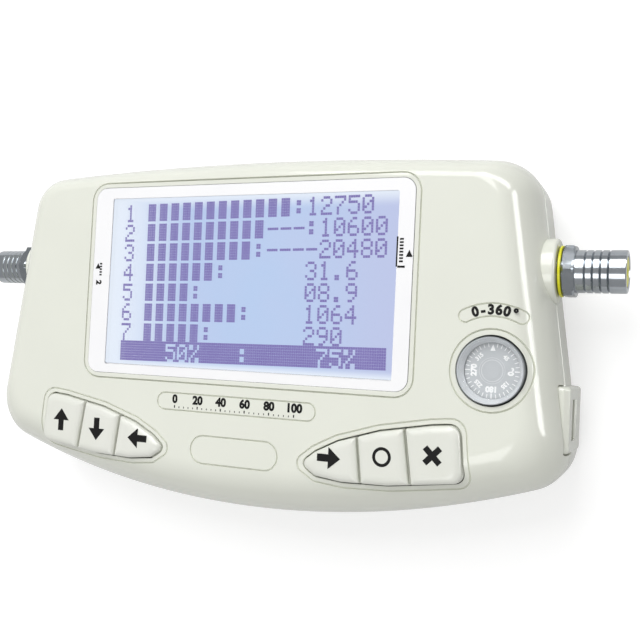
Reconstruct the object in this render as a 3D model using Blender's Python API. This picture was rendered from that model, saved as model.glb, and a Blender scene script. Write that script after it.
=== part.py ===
# Satellite signal meter: display, six keys, compass and two coaxial connectors.
# Metres. +Z is out of the display, +X to its right, +Y to its top.
# It lies on its four feet, and the origin is on the surface under the middle of its case.
import math

import bmesh
import bpy
from mathutils import Vector

# Clearances
FIT_GAP = 0.0003
LIP_GAP = 0.0007
OVERRUN = 0.003

# Case outline, seen from the front. These margins round the window and the keys give its size.
WINDOW_TO_TOP = 0.00725
WINDOW_TO_SIDE = 0.0288
WINDOW_TO_KEYS = 0.0063
KEYS_TO_BOTTOM = 0.01065
KEYS_TO_SIDE = 0.0154
SIDE_SLOPE_SHARE = 0.145
TOP_ARC_RADIUS = 0.909
BOTTOM_ARC_RADIUS = 0.2194
TOP_CORNER_RADIUS = 0.010
BOTTOM_CORNER_RADIUS = 0.0101
TOP_ROUNDING = 0.0059
SIDE_ROUNDING = 0.0085
BOTTOM_ROUNDING = 0.0118
TOP_CORNER_SHARE = 0.5
BOTTOM_CORNER_SHARE = 0.2

# Case depth
FOOT_PROUD = 0.0015
FRONT_DEPTH = 0.014
REAR_DEPTH = 0.016
REAR_ROUNDING = 0.0052
REAR_DRAFT = 0.0003
WALL = 0.0022
LIP_HEIGHT = 0.0018
LIP_THICKNESS = 0.001
LIP_ROOT = 0.003

# Window panel
WINDOW_WIDTH = 0.088
WINDOW_HEIGHT = 0.048
WINDOW_CORNER = 0.003
WINDOW_THICKNESS = 0.0012
WINDOW_LEDGE = 0.0012
WINDOW_LEDGE_CORNER = 0.001
WINDOW_FRAME_DEPTH = 0.0032
WINDOW_FRAME_EDGE = 0.002

# Display module
LCD_INSIDE_WINDOW_X = 0.002
LCD_INSIDE_WINDOW_Y = 0.0015
LCD_LIP_X = 0.0018
LCD_LIP_Y = 0.0008
LCD_SKIN = 0.0006
GLASS_THICKNESS = 0.0018
BACKLIGHT_THICKNESS = 0.0026
LCD_POST_BEYOND_X = 0.0028
LCD_POST_BEYOND_Y = 0.0022
LCD_BOARD_EDGE_X = 0.0022
LCD_BOARD_EDGE_Y = 0.002
LCD_POST_RADIUS = 0.0020
LCD_PIN_RADIUS = 0.0011
LCD_PIN_LENGTH = 0.0026
BOARD_THICKNESS = 0.0016
HEADER_LENGTH = 0.040
HEADER_WIDTH = 0.0025
HEADER_TO_BOARD_TOP = 0.003

# Key clusters: the right one, and the left one as its mirror image
CLUSTER_TIP_X = 0.0189
CLUSTER_HEIGHT = 0.0149
CLUSTER_SHARES = (
    (0.00, 0.22), (0.10, 0.05), (0.27, 0.00), (0.55, 0.02), (0.85, 0.119), (1.00, 0.17),
    (0.97, 1.00), (0.81, 0.96), (0.496, 0.812), (0.236, 0.604), (0.094, 0.416),
)
CLUSTER_SPLIT_SHARES = ((0.642, 0.700), (0.343, 0.392))
CLUSTER_ROUNDING = 0.0014
KEY_WELL_WALL = 0.0013
KEY_WELL_DEPTH = 0.0065
KEY_SIDE_GAP = 0.00035
KEY_SPLIT_GAP = 0.0006
KEY_PROUD = 0.0012
KEY_EDGE = 0.0007
KEY_FLANGE_REACH = 0.0007
KEY_FLANGE = 0.001
KEY_TRAVEL = 0.0008

# Switches under the keys
SWITCH_SIZE = 0.006
SWITCH_HEIGHT = 0.0038
SWITCH_PLUNGER_RADIUS = 0.0016
SWITCH_PLUNGER_LENGTH = 0.0034
PLUNGER_LEFT_SHOWING = 0.0007
PLUNGER_ROOM = 0.0006
KEY_NAMES = {-1: ("up", "down", "left"), 1: ("exit", "ok", "right")}

# Key board
KEY_BOARD_BEYOND_KEYS = 0.0011
KEY_BOARD_BELOW_KEYS_TOP = 0.0007
KEY_BOARD_BELOW_KEYS = 0.0003
KEY_BOARD_CUT_X = 0.014
KEY_BOARD_CUT_Y = 0.0035
KEY_POST_INSIDE_TIP = 0.0089
KEY_POST_BELOW_KEYS_TOP = 0.0077
KEY_POST_RADIUS = 0.003
RIBBON_WIDTH = 0.014
RIBBON_THICKNESS = 0.0003
RIBBON_LAP = 0.0035
RIBBON_STEPS = 8

# Main board and what it carries
MAIN_BOARD_BELOW_POST = 0.0014
MAIN_BOARD_BELOW_CAN = 0.0125
MAIN_POST_TO_SIDE = 0.0168
MAIN_SCREW_TO_TOP = 0.0055
MAIN_PIN_TO_BOTTOM = 0.005
MAIN_POST_RADIUS = 0.003
MAIN_PIN_RADIUS = 0.0012
MAIN_PIN_LENGTH = 0.0026
CAN_WIDTH = 0.064
CAN_HEIGHT = 0.026
CAN_TO_FLOOR = 0.0031
CAN_WALL = 0.0006
CAN_ABOVE_WINDOW = 0.0015
CHIP_SIZE = 0.014
CHIP_THICKNESS = 0.0014
CHIP_X = 0.016
CHIP_BELOW_WINDOW = 0.008
COIL_SIZE = 0.010
COIL_THICKNESS = 0.004
COIL_TO_EDGE = 0.0117
COIL_BELOW_WINDOW = 0.0045
CAPACITOR_RADIUS = 0.004
CAPACITOR_TO_FLOOR = 0.0021
CAPACITOR_BELOW_CAN = 0.003
CAPACITOR_X = (0.030, 0.041)
BUZZER_RADIUS = 0.006
BUZZER_HEIGHT = 0.005
BUZZER_OVER_CAN = 0.002
BUZZER_HOLE_RADIUS = 0.001
BUZZER_HOLE_DEPTH = 0.002

# Compass
COMPASS_BESIDE_WINDOW = 0.0184
COMPASS_ABOVE_KEYS = 0.0121
COMPASS_RADIUS = 0.00755
COMPASS_WALL = 0.00075
COMPASS_TUBE_WALL = 0.0017
COMPASS_TUBE_DEPTH = 0.007
COMPASS_PROUD = 0.0006
COMPASS_LENS_THICKNESS = 0.0014
COMPASS_LENS_DOME = 0.0004
COMPASS_FLANGE_REACH = 0.0017
COMPASS_FLOOR = 0.0012
CARD_RADIUS = 0.0064
CARD_THICKNESS = 0.0006
CARD_BELOW_LENS = 0.0008
CARD_HUB_RADIUS = 0.0016
CARD_HUB_DEPTH = 0.0014
PIVOT_RADIUS = 0.0005
PIVOT_FOOT_RADIUS = 0.0015
PIVOT_FOOT = 0.0008

# Coaxial connectors, one on each side on one axis
CONNECTOR_ABOVE_WINDOW = 0.0045
CONNECTOR_PROUD = 0.0154
BARREL_RADIUS = 0.00475
BARREL_LENGTH = 0.0108
THREAD_START = 0.0019
THREAD_GROOVE = 0.0004
THREAD_DEPTH = 0.0003
THREAD_PITCH = 0.00165
THREAD_COUNT = 4
HEX_ACROSS = 0.011
HEX_THICKNESS = 0.0025
WASHER_RADIUS = 0.00575
WASHER_THICKNESS = 0.0006
BOSS_RADIUS = 0.0070
BOSS_LENGTH = 0.0055
SHANK_RADIUS = 0.004
SHANK_INSIDE = 0.0068
BORE_RADIUS = 0.0034
BORE_DEPTH = 0.008
SHANK_BORE_RADIUS = 0.0017
INSULATOR_INSET = 0.0006
SLEEVE_RADIUS = 0.0014
CONTACT_RADIUS = 0.0005
CONTACT_INSET = 0.0012
CONTACT_LAP = 0.003

# Strap lugs, one on each side
LUG_BEYOND_SIDE = 0.005
LUG_DEPTH = 0.0053
LUG_TO_BOTTOM = 0.02765
LUG_LENGTH = 0.0146
LUG_ABOVE_SEAM = 0.0054
LUG_SLOPE_X = 0.0013
LUG_SLOPE_Z = 0.001
LUG_EDGE = 0.0012
LUG_BELOW_SEAM = 0.0115
STRAP_SLOT_LENGTH = 0.009
STRAP_SLOT_WIDTH = 0.005
STRAP_SLOT_ABOVE_SEAM = 0.0009
STRAP_BAR = 0.0037
STRAP_EXIT_WIDTH = 0.0047
STRAP_EXIT_WALL = 0.0012

# Screws and feet. The upper places are from the case's side and top, the lower ones from side and bottom.
UPPER_SCREW = (0.0128, 0.01045)
LOWER_SCREW = (0.009, 0.01785)
CASE_POST_RADIUS = 0.0034
SCREW_RADIUS = 0.0015
SCREW_HEAD_RADIUS = 0.0028
SCREW_HEAD_HEIGHT = 0.0018
SCREW_COUNTERBORE = 0.006
SCREW_LENGTH = 0.014
SMALL_SCREW_RADIUS = 0.001
SMALL_SCREW_HEAD_RADIUS = 0.0019
SMALL_SCREW_HEAD_HEIGHT = 0.0012
SMALL_SCREW_LENGTH = 0.005
DRIVE_RADIUS = 0.0009
DRIVE_DEPTH = 0.0008
FOOT_RADIUS = 0.005
FOOT_SEAT = 0.001
UPPER_FOOT = (0.0278, 0.01125)
LOWER_FOOT = (0.0268, 0.01785)

# How finely round shapes are drawn
TOP_STEPS = 4
CORNER_STEPS = 5
BOTTOM_STEPS = 8
EDGE_STEPS = 5
REAR_EDGE_STEPS = 3
ROUND_STEPS = 24
SMALL_ROUND_STEPS = 10
KEY_CORNER_STEPS = 2
SHARP_DEGREES = 35
EDGE_USED_SHARE = 0.45

# Sizes, levels and places that follow from the sizes above
CASE_HEIGHT = WINDOW_TO_TOP + WINDOW_HEIGHT + WINDOW_TO_KEYS + CLUSTER_HEIGHT + KEYS_TO_BOTTOM
CASE_WIDTH = WINDOW_WIDTH + 2 * WINDOW_TO_SIDE
CASE_TOP_Y = CASE_HEIGHT / 2
CASE_BOTTOM_Y = -CASE_HEIGHT / 2
SIDE_X = CASE_WIDTH / 2
REAR_Z = FOOT_PROUD
SEAM_Z = REAR_Z + REAR_DEPTH
FACE_Z = SEAM_Z + FRONT_DEPTH
WINDOW_Y = CASE_TOP_Y - WINDOW_TO_TOP - WINDOW_HEIGHT / 2
LCD_WIDTH = WINDOW_WIDTH - 2 * LCD_INSIDE_WINDOW_X
LCD_HEIGHT = WINDOW_HEIGHT - 2 * LCD_INSIDE_WINDOW_Y
LCD_POST_X = LCD_WIDTH / 2 + LCD_POST_BEYOND_X
LCD_POST_Y = LCD_HEIGHT / 2 + LCD_POST_BEYOND_Y
LCD_BOARD_WIDTH = 2 * (LCD_POST_X + LCD_BOARD_EDGE_X)
LCD_BOARD_HEIGHT = 2 * (LCD_POST_Y + LCD_BOARD_EDGE_Y)
CLUSTER_END_X = SIDE_X - KEYS_TO_SIDE
CLUSTER_BOTTOM_Y = CASE_BOTTOM_Y + KEYS_TO_BOTTOM
CLUSTER_TOP_Y = CLUSTER_BOTTOM_Y + CLUSTER_HEIGHT
KEY_BOARD_END_X = CLUSTER_END_X + KEY_BOARD_BEYOND_KEYS
KEY_BOARD_TOP_Y = CLUSTER_TOP_Y - KEY_BOARD_BELOW_KEYS_TOP
KEY_BOARD_BOTTOM_Y = CLUSTER_BOTTOM_Y - KEY_BOARD_BELOW_KEYS
COMPASS_X = WINDOW_WIDTH / 2 + COMPASS_BESIDE_WINDOW
COMPASS_Y = CLUSTER_TOP_Y + COMPASS_ABOVE_KEYS
CONNECTOR_Y = WINDOW_Y + CONNECTOR_ABOVE_WINDOW
CONNECTOR_TIP_X = SIDE_X + CONNECTOR_PROUD
SHANK_END_X = SIDE_X - SHANK_INSIDE
LUG_Y = CASE_BOTTOM_Y + LUG_TO_BOTTOM
LUG_OUTER_X = SIDE_X + LUG_BEYOND_SIDE
LUG_INNER_X = LUG_OUTER_X - LUG_DEPTH
STRAP_EXIT_HIGH_X = LUG_OUTER_X - STRAP_BAR
STRAP_EXIT_LOW_X = STRAP_EXIT_HIGH_X - STRAP_EXIT_WIDTH
LUG_BLOCK_X = STRAP_EXIT_LOW_X - STRAP_EXIT_WALL
CAN_Y = WINDOW_Y + CAN_ABOVE_WINDOW
CAN_BOTTOM_Y = CAN_Y - CAN_HEIGHT / 2
MAIN_BOARD_TOP_Y = CASE_TOP_Y - UPPER_SCREW[1] - CASE_POST_RADIUS - MAIN_BOARD_BELOW_POST
MAIN_BOARD_BOTTOM_Y = CAN_BOTTOM_Y - MAIN_BOARD_BELOW_CAN
MAIN_POST_X = SIDE_X - MAIN_POST_TO_SIDE
WINDOW_SEAT_Z = FACE_Z - WINDOW_THICKNESS - FIT_GAP
LCD_TOP_Z = WINDOW_SEAT_Z
GLASS_Z = LCD_TOP_Z - LCD_SKIN - FIT_GAP - GLASS_THICKNESS
BACKLIGHT_Z = GLASS_Z - FIT_GAP - BACKLIGHT_THICKNESS
LCD_BOARD_Z = BACKLIGHT_Z - FIT_GAP - BOARD_THICKNESS
MAIN_BOARD_Z = SEAM_Z - CONTACT_RADIUS - FIT_GAP - BOARD_THICKNESS
BOARD_UNDER_Z = MAIN_BOARD_Z - FIT_GAP
BOARD_OVER_Z = MAIN_BOARD_Z + BOARD_THICKNESS + FIT_GAP
FLOOR_Z = REAR_Z + WALL
KEY_SEAT_Z = FACE_Z - KEY_WELL_DEPTH
KEY_BASE_Z = KEY_SEAT_Z - FIT_GAP - KEY_FLANGE
SWITCH_PLUNGER_SHOWS = KEY_TRAVEL + PLUNGER_LEFT_SHOWING
SWITCH_WELL_DEPTH = SWITCH_PLUNGER_LENGTH - PLUNGER_LEFT_SHOWING + PLUNGER_ROOM
PLUNGER_TOP_Z = KEY_BASE_Z - FIT_GAP
SWITCH_TOP_Z = PLUNGER_TOP_Z - SWITCH_PLUNGER_SHOWS
SWITCH_Z = SWITCH_TOP_Z - SWITCH_HEIGHT
KEY_BOARD_Z = SWITCH_Z - FIT_GAP - BOARD_THICKNESS
COMPASS_SEAT_Z = FACE_Z - COMPASS_TUBE_DEPTH
COMPASS_FLOOR_Z = COMPASS_SEAT_Z - FIT_GAP
LENS_Z = FACE_Z + COMPASS_PROUD - COMPASS_LENS_THICKNESS
CARD_Z = LENS_Z - CARD_BELOW_LENS - CARD_THICKNESS
BARREL_X = CONNECTOR_TIP_X - BARREL_LENGTH
HEX_X = BARREL_X - HEX_THICKNESS
WASHER_X = HEX_X - FIT_GAP - WASHER_THICKNESS
BOSS_END_X = WASHER_X - FIT_GAP
BOSS_INNER_X = BOSS_END_X - BOSS_LENGTH
BOARD_EDGE_X = SHANK_END_X - FIT_GAP


def clear_scene():
    for item in list(bpy.data.objects):
        bpy.data.objects.remove(item, do_unlink=True)


def linear(hex_colour):
    """A colour written as sRGB hex, as linear RGBA."""
    parts = [int(hex_colour[i:i + 2], 16) / 255 for i in (0, 2, 4)]
    return [c / 12.92 if c <= 0.04045 else ((c + 0.055) / 1.055) ** 2.4 for c in parts] + [1.0]


def material(name, hex_colour, roughness, metallic=0.0):
    if name in bpy.data.materials:
        return bpy.data.materials[name]
    made = bpy.data.materials.new(name)
    made.use_nodes = True
    shader = made.node_tree.nodes["Principled BSDF"]
    shader.inputs["Base Color"].default_value = linear(hex_colour)
    shader.inputs["Roughness"].default_value = roughness
    shader.inputs["Metallic"].default_value = metallic
    return made


def case_plastic():
    return material("off_white_plastic", "E8EADF", 0.35)


def key_plastic():
    return material("key_plastic", "DFE1D6", 0.4)


def dark_plastic():
    return material("dark_plastic", "2A2B2D", 0.5)


def plated_metal():
    return material("nickel_plate", "9A9EA2", 0.25, 1.0)


def screw_steel():
    return material("zinc_steel", "A8A9A6", 0.35, 1.0)


def board_laminate():
    return material("board_laminate", "2D5B3A", 0.5)


def loft(mesh, rings, closed=False):
    """Adds one closed body that runs through the rings, all with the same number of points."""
    rows = [[mesh.verts.new(point) for point in ring] for ring in rings]
    pairs = list(zip(rows, rows[1:] + rows[:1])) if closed else list(zip(rows, rows[1:]))
    for low, high in pairs:
        count = len(low)
        for i in range(count):
            j = (i + 1) % count
            mesh.faces.new((low[i], low[j], high[j], high[i]))
    if not closed:
        mesh.faces.new(list(reversed(rows[0])))
        mesh.faces.new(rows[-1])


def mesh_object(name, bodies, paint=None, place=None, closed=False):
    """One object made of lofted bodies, with its origin at the place given."""
    mesh = bmesh.new()
    for rings in bodies:
        loft(mesh, rings, closed)
    bmesh.ops.recalc_face_normals(mesh, faces=mesh.faces)
    centre = Vector(place) if place else Vector((0, 0, 0))
    bmesh.ops.translate(mesh, vec=-centre, verts=mesh.verts)
    data = bpy.data.meshes.new(name)
    mesh.to_mesh(data)
    mesh.free()
    data.shade_smooth()
    data.set_sharp_from_angle(angle=math.radians(SHARP_DEGREES))
    made = bpy.data.objects.new(name, data)
    made.location = centre
    bpy.context.scene.collection.objects.link(made)
    if paint:
        data.materials.append(paint)
    return made


def tool(name, bodies):
    """A cutter or guide, which isn't part of the object."""
    made = mesh_object(name, bodies)
    made.hide_render = True
    made.display_type = "WIRE"
    return made


def boolean(target, operation, other):
    step = target.modifiers.new(other.name, "BOOLEAN")
    step.operation = operation
    step.solver = "EXACT"
    step.object = other


def circle(radius, z, centre=(0, 0), steps=ROUND_STEPS):
    turn = 2 * math.pi / steps
    return [(centre[0] + radius * math.cos(turn * i), centre[1] + radius * math.sin(turn * i), z)
            for i in range(steps)]


def turned(profile, centre=(0, 0), steps=ROUND_STEPS):
    """Rings of a body turned about a vertical line, from its (radius, z) profile."""
    return [circle(radius, z, centre, steps) for radius, z in profile]


def column(centre, radius, low, high, steps=ROUND_STEPS):
    return turned(((radius, low), (radius, high)), centre, steps)


def along_x(rings, side, y, z):
    """Turns rings about the Z line into rings about a line along X, outwards on one side."""
    return [[(side * high, y + a, z + side * b) for a, b, high in ring] for ring in rings]


def rectangle(width, height, centre, z):
    x, y = centre
    return [(x - width / 2, y - height / 2, z), (x + width / 2, y - height / 2, z),
            (x + width / 2, y + height / 2, z), (x - width / 2, y + height / 2, z)]


def slab(width, height, centre, low, high):
    """The rings of an upright block between two levels."""
    return [rectangle(width, height, centre, z) for z in (low, high)]


def box(low, high):
    """A box between two corners."""
    centre = ((low[0] + high[0]) / 2, (low[1] + high[1]) / 2)
    return slab(high[0] - low[0], high[1] - low[1], centre, low[2], high[2])


def mirrored(rings):
    """The same rings across the middle of the meter, with their sense kept."""
    return [[(-x, y, z) for x, y, z in reversed(ring)] for ring in rings]


def both_sides(rings):
    return [rings, mirrored(rings)]


def four_places(upper, lower):
    """Places on both sides of the meter, given inwards from its side, and from its top and bottom."""
    places = ((SIDE_X - upper[0], CASE_TOP_Y - upper[1]), (SIDE_X - lower[0], CASE_BOTTOM_Y + lower[1]))
    return [(side * x, y) for x, y in places for side in (1, -1)]


def rounded(outline, radius, z, steps=KEY_CORNER_STEPS):
    """A ring round a convex outline given anticlockwise, with its corners rounded."""
    ring = []
    count = len(outline)
    for i in range(count):
        corner = Vector(outline[i])
        back = Vector(outline[i - 1]) - corner
        ahead = Vector(outline[(i + 1) % count]) - corner
        half = back.angle(ahead) / 2
        reach = min(radius / math.tan(half), back.length * EDGE_USED_SHARE, ahead.length * EDGE_USED_SHARE)
        size = reach * math.tan(half)
        centre = corner + (back.normalized() + ahead.normalized()).normalized() * (size / math.sin(half))
        start = corner + back.normalized() * reach - centre
        end = corner + ahead.normalized() * reach - centre
        sweep = math.pi - 2 * half
        first = math.atan2(start.y, start.x)
        for k in range(steps + 1):
            angle = first + sweep * k / steps
            ring.append((centre.x + end.length * math.cos(angle), centre.y + end.length * math.sin(angle), z))
    return ring


def grown(outline, reach):
    """A convex outline given anticlockwise, with each edge moved out."""
    count = len(outline)
    lines = []
    for i in range(count):
        a = Vector(outline[i])
        along = (Vector(outline[(i + 1) % count]) - a).normalized()
        lines.append((a + Vector((along.y, -along.x)) * reach, along))
    moved = []
    for i in range(count):
        (p, u), (q, v) = lines[i - 1], lines[i]
        step = (q - p).cross(v) / u.cross(v)
        moved.append(tuple(p + u * step))
    return moved


def clipped(outline, point, inward):
    """The part of a convex outline on the inward side of a line."""
    kept = []
    count = len(outline)
    depths = [(Vector(p) - point).dot(inward) for p in outline]
    for i in range(count):
        a, b = Vector(outline[i]), Vector(outline[(i + 1) % count])
        da, db = depths[i], depths[(i + 1) % count]
        if da >= 0:
            kept.append(tuple(a))
        if da * db < 0:
            kept.append(tuple(a + (b - a) * (da / (da - db))))
    return kept


def arc(centre, radius, start, end, steps):
    """Points after the first one of an arc, and the first one itself."""
    return [(centre[0] + radius * math.cos(start + (end - start) * k / steps),
             centre[1] + radius * math.sin(start + (end - start) * k / steps)) for k in range(steps + 1)]


def case_outline(top_in, side_in, bottom_in):
    """The case's outline, drawn in from its seam line by the given amounts. Anticlockwise."""
    top_radius = TOP_CORNER_RADIUS - TOP_CORNER_SHARE * side_in
    bottom_radius = BOTTOM_CORNER_RADIUS - BOTTOM_CORNER_SHARE * side_in
    top_centre = Vector((0, CASE_TOP_Y - top_in - TOP_ARC_RADIUS))
    bottom_centre = Vector((0, CASE_BOTTOM_Y + bottom_in + BOTTOM_ARC_RADIUS))
    up = Vector((-SIDE_SLOPE_SHARE, 1)).normalized()
    inward = Vector((-up.y, up.x))
    side = Vector((SIDE_X - side_in, WINDOW_Y))

    def corner(arc_centre, arc_radius, radius, sign):
        start = side + inward * radius
        back = start - arc_centre
        along = back.dot(up)
        root = math.sqrt(along ** 2 - back.length_squared + (arc_radius - radius) ** 2)
        return start + up * (sign * root - along)

    upper = corner(top_centre, TOP_ARC_RADIUS, top_radius, 1)
    lower = corner(bottom_centre, BOTTOM_ARC_RADIUS, bottom_radius, -1)
    outward = math.atan2(-inward.y, -inward.x)
    top_turn = math.atan2(upper.y - top_centre.y, upper.x)
    bottom_turn = math.atan2(lower.y - bottom_centre.y, lower.x)
    right = arc(bottom_centre, BOTTOM_ARC_RADIUS, -math.pi / 2, bottom_turn, BOTTOM_STEPS)
    right += arc(lower, bottom_radius, bottom_turn, outward, CORNER_STEPS)[1:]
    right += arc(upper, top_radius, outward, top_turn, CORNER_STEPS)
    right += arc(top_centre, TOP_ARC_RADIUS, top_turn, math.pi / 2, TOP_STEPS)[1:]
    left = [(-x, y) for x, y in reversed(right[1:-1])]
    return right + left


def between(outer, inner, share, z):
    return [(a[0] + (b[0] - a[0]) * share, a[1] + (b[1] - a[1]) * share, z) for a, b in zip(outer, inner)]


def edge_rings(outer, inner, start_z, end_z, steps):
    """Rings over a rounded edge, from the outer outline to the inner one."""
    rings = []
    for k in range(steps + 1):
        turn = math.pi / 2 * k / steps
        rings.append(between(outer, inner, 1 - math.cos(turn), start_z + (end_z - start_z) * math.sin(turn)))
    return rings


def even(inset):
    return case_outline(inset, inset, inset)


def face_outline():
    return case_outline(TOP_ROUNDING, SIDE_ROUNDING, BOTTOM_ROUNDING)


def boss_half(side, upper):
    """Half of the round boss that a connector passes through, above or below the seam."""
    gap = FIT_GAP / 2
    start = math.asin(gap / BOSS_RADIUS)
    rise = 1 if upper else -1
    points = arc((0, 0), BOSS_RADIUS, start, math.pi - start, ROUND_STEPS // 2)
    rings = []
    for x in (BOSS_INNER_X, BOSS_END_X):
        rings.append([(side * x, CONNECTOR_Y + a, SEAM_Z + rise * b) for a, b in points])
    return rings


def connector_holes():
    profile = ((SHANK_RADIUS + FIT_GAP, SHANK_END_X), (SHANK_RADIUS + FIT_GAP, CONNECTOR_TIP_X))
    return [along_x(turned(profile), side, CONNECTOR_Y, SEAM_Z) for side in (1, -1)]


def in_cluster(across_share, up_share):
    """A place in the right cluster's box."""
    return (CLUSTER_TIP_X + (CLUSTER_END_X - CLUSTER_TIP_X) * across_share,
            CLUSTER_BOTTOM_Y + CLUSTER_HEIGHT * up_share)


def cluster_outline():
    """The right cluster of keys, anticlockwise, as the keys' own outer edge."""
    return [in_cluster(*place) for place in CLUSTER_SHARES]


def key_outline(index, reach):
    """One key of the right cluster, counted from its outer end, grown all round the cluster."""
    outline = grown(cluster_outline(), reach) if reach else cluster_outline()
    for number, (top_share, foot_share) in enumerate(CLUSTER_SPLIT_SHARES):
        low = Vector(in_cluster(foot_share, 0))
        high = Vector(in_cluster(top_share, 1))
        along = (high - low).normalized()
        outward = Vector((along.y, -along.x))
        if index <= number:
            outline = clipped(outline, low + outward * (KEY_SPLIT_GAP / 2), outward)
        if index > number:
            outline = clipped(outline, low - outward * (KEY_SPLIT_GAP / 2), -outward)
    return outline


def middle_of(outline):
    xs = [p[0] for p in outline]
    ys = [p[1] for p in outline]
    return ((min(xs) + max(xs)) / 2, (min(ys) + max(ys)) / 2)


def lug_profile(grow, drawn_in):
    """The lug seen along the meter, as (x, height above the seam), grown where it meets the front."""
    outer = LUG_OUTER_X + grow - drawn_in
    slope = outer - LUG_SLOPE_X
    top = LUG_ABOVE_SEAM + grow - drawn_in
    return [(LUG_INNER_X - grow, -LUG_BELOW_SEAM), (slope, -LUG_BELOW_SEAM),
            (outer, LUG_SLOPE_Z - LUG_BELOW_SEAM), (outer, top - LUG_SLOPE_Z),
            (slope, top), (LUG_INNER_X - grow, top)]


def lug_block(grow):
    """The lug's solid on the right side, as rings along the meter, with its ends' edges taken off."""
    half = LUG_LENGTH / 2 + grow
    ends = ((half, LUG_EDGE), (half - LUG_EDGE, 0), (LUG_EDGE - half, 0), (-half, LUG_EDGE))
    return [[(x, LUG_Y + y, SEAM_Z + z) for x, z in lug_profile(grow, drawn_in)] for y, drawn_in in ends]


def case_post_places():
    return four_places(UPPER_SCREW, LOWER_SCREW)


def lcd_post_places():
    return [(side * LCD_POST_X, WINDOW_Y + y) for y in (LCD_POST_Y, -LCD_POST_Y) for side in (1, -1)]


def key_post_places():
    x = CLUSTER_TIP_X - KEY_POST_INSIDE_TIP
    return [(side * x, CLUSTER_TOP_Y - KEY_POST_BELOW_KEYS_TOP) for side in (1, -1)]


def main_screw_places():
    return [(side * MAIN_POST_X, MAIN_BOARD_TOP_Y - MAIN_SCREW_TO_TOP) for side in (1, -1)]


def main_pin_places():
    return [(side * MAIN_POST_X, MAIN_BOARD_BOTTOM_Y + MAIN_PIN_TO_BOTTOM) for side in (1, -1)]


def window_outline(margin, corner, z):
    corners = [point[:2] for point in rectangle(WINDOW_WIDTH + 2 * margin, WINDOW_HEIGHT + 2 * margin,
                                                (0, WINDOW_Y), z)]
    return rounded(corners, corner, z)


def front_case():
    """The front shell, with its window frame, key wells, compass tube and posts."""
    low = SEAM_Z + FIT_GAP / 2
    case = mesh_object("front_case", [edge_rings(even(0), face_outline(), low, FACE_Z, EDGE_STEPS)],
                       case_plastic())
    boolean(case, "UNION", tool("front_bosses", [boss_half(side, True) for side in (1, -1)]))
    inner = edge_rings(even(WALL), face_outline(), SEAM_Z, FACE_Z - WALL, EDGE_STEPS)
    cavity = tool("front_cavity", [[[(x, y, SEAM_Z - OVERRUN) for x, y, z in inner[0]]] + inner])
    top = FACE_Z + OVERRUN
    frame = box((-WINDOW_WIDTH / 2 - WINDOW_FRAME_EDGE, WINDOW_Y - WINDOW_HEIGHT / 2 - WINDOW_FRAME_EDGE,
                 FACE_Z - WINDOW_FRAME_DEPTH),
                (WINDOW_WIDTH / 2 + WINDOW_FRAME_EDGE, WINDOW_Y + WINDOW_HEIGHT / 2 + WINDOW_FRAME_EDGE, top))
    well = grown(cluster_outline(), KEY_SIDE_GAP + KEY_WELL_WALL)
    well_rings = [rounded(well, CLUSTER_ROUNDING, z) for z in (KEY_SEAT_Z, top)]
    tube = column((COMPASS_X, COMPASS_Y), COMPASS_RADIUS + FIT_GAP + COMPASS_TUBE_WALL, COMPASS_SEAT_Z, top)
    keeps = [frame, tube] + both_sides(well_rings)
    keeps += [column(place, CASE_POST_RADIUS, SEAM_Z - 2 * OVERRUN, top, SMALL_ROUND_STEPS)
              for place in case_post_places()]
    keeps += [column(place, KEY_POST_RADIUS, KEY_BOARD_Z + BOARD_THICKNESS + FIT_GAP, top, SMALL_ROUND_STEPS)
              for place in key_post_places()]
    boolean(cavity, "DIFFERENCE", tool("front_keeps", keeps))
    board_top = LCD_BOARD_Z + BOARD_THICKNESS + FIT_GAP
    pin_end = board_top - LCD_PIN_LENGTH
    posts = [turned(((LCD_PIN_RADIUS, pin_end), (LCD_PIN_RADIUS, board_top),
                     (LCD_POST_RADIUS, board_top), (LCD_POST_RADIUS, top)), place, SMALL_ROUND_STEPS)
             for place in lcd_post_places()]
    boolean(cavity, "DIFFERENCE", tool("display_posts", posts))
    boolean(cavity, "DIFFERENCE", tool("front_boss_keeps", [boss_half(side, True) for side in (1, -1)]))
    boolean(case, "DIFFERENCE", cavity)
    boolean(case, "DIFFERENCE", tool("front_openings", front_openings(top)))
    return case


def front_openings(top):
    """What is cut through or into the front shell once it is hollow."""
    frame_foot = FACE_Z - WINDOW_FRAME_DEPTH - OVERRUN
    window = [window_outline(-WINDOW_LEDGE, WINDOW_LEDGE_CORNER, z) for z in (frame_foot, WINDOW_SEAT_Z)]
    window += [window_outline(FIT_GAP, WINDOW_CORNER + FIT_GAP, z) for z in (WINDOW_SEAT_Z, top)]
    hole = grown(cluster_outline(), KEY_SIDE_GAP)
    cluster = [rounded(hole, CLUSTER_ROUNDING, z) for z in (KEY_SEAT_Z - OVERRUN / 2, top)]
    cuts = [window, column((COMPASS_X, COMPASS_Y), COMPASS_RADIUS + FIT_GAP, COMPASS_SEAT_Z - OVERRUN, top)]
    cuts += both_sides(cluster) + both_sides(lug_block(FIT_GAP)) + connector_holes()
    screw_end = screw_base_z() + SCREW_LENGTH + FIT_GAP
    cuts += [column(place, SCREW_RADIUS + FIT_GAP, SEAM_Z - OVERRUN, screw_end, SMALL_ROUND_STEPS)
             for place in case_post_places()]
    small_end = KEY_BOARD_Z - FIT_GAP + SMALL_SCREW_LENGTH + FIT_GAP
    cuts += [column(place, SMALL_SCREW_RADIUS + FIT_GAP, KEY_BOARD_Z, small_end, SMALL_ROUND_STEPS)
             for place in key_post_places()]
    return cuts


def screw_base_z():
    """The level of the seat under a case screw's head."""
    return REAR_Z + SCREW_COUNTERBORE + FIT_GAP


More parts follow.
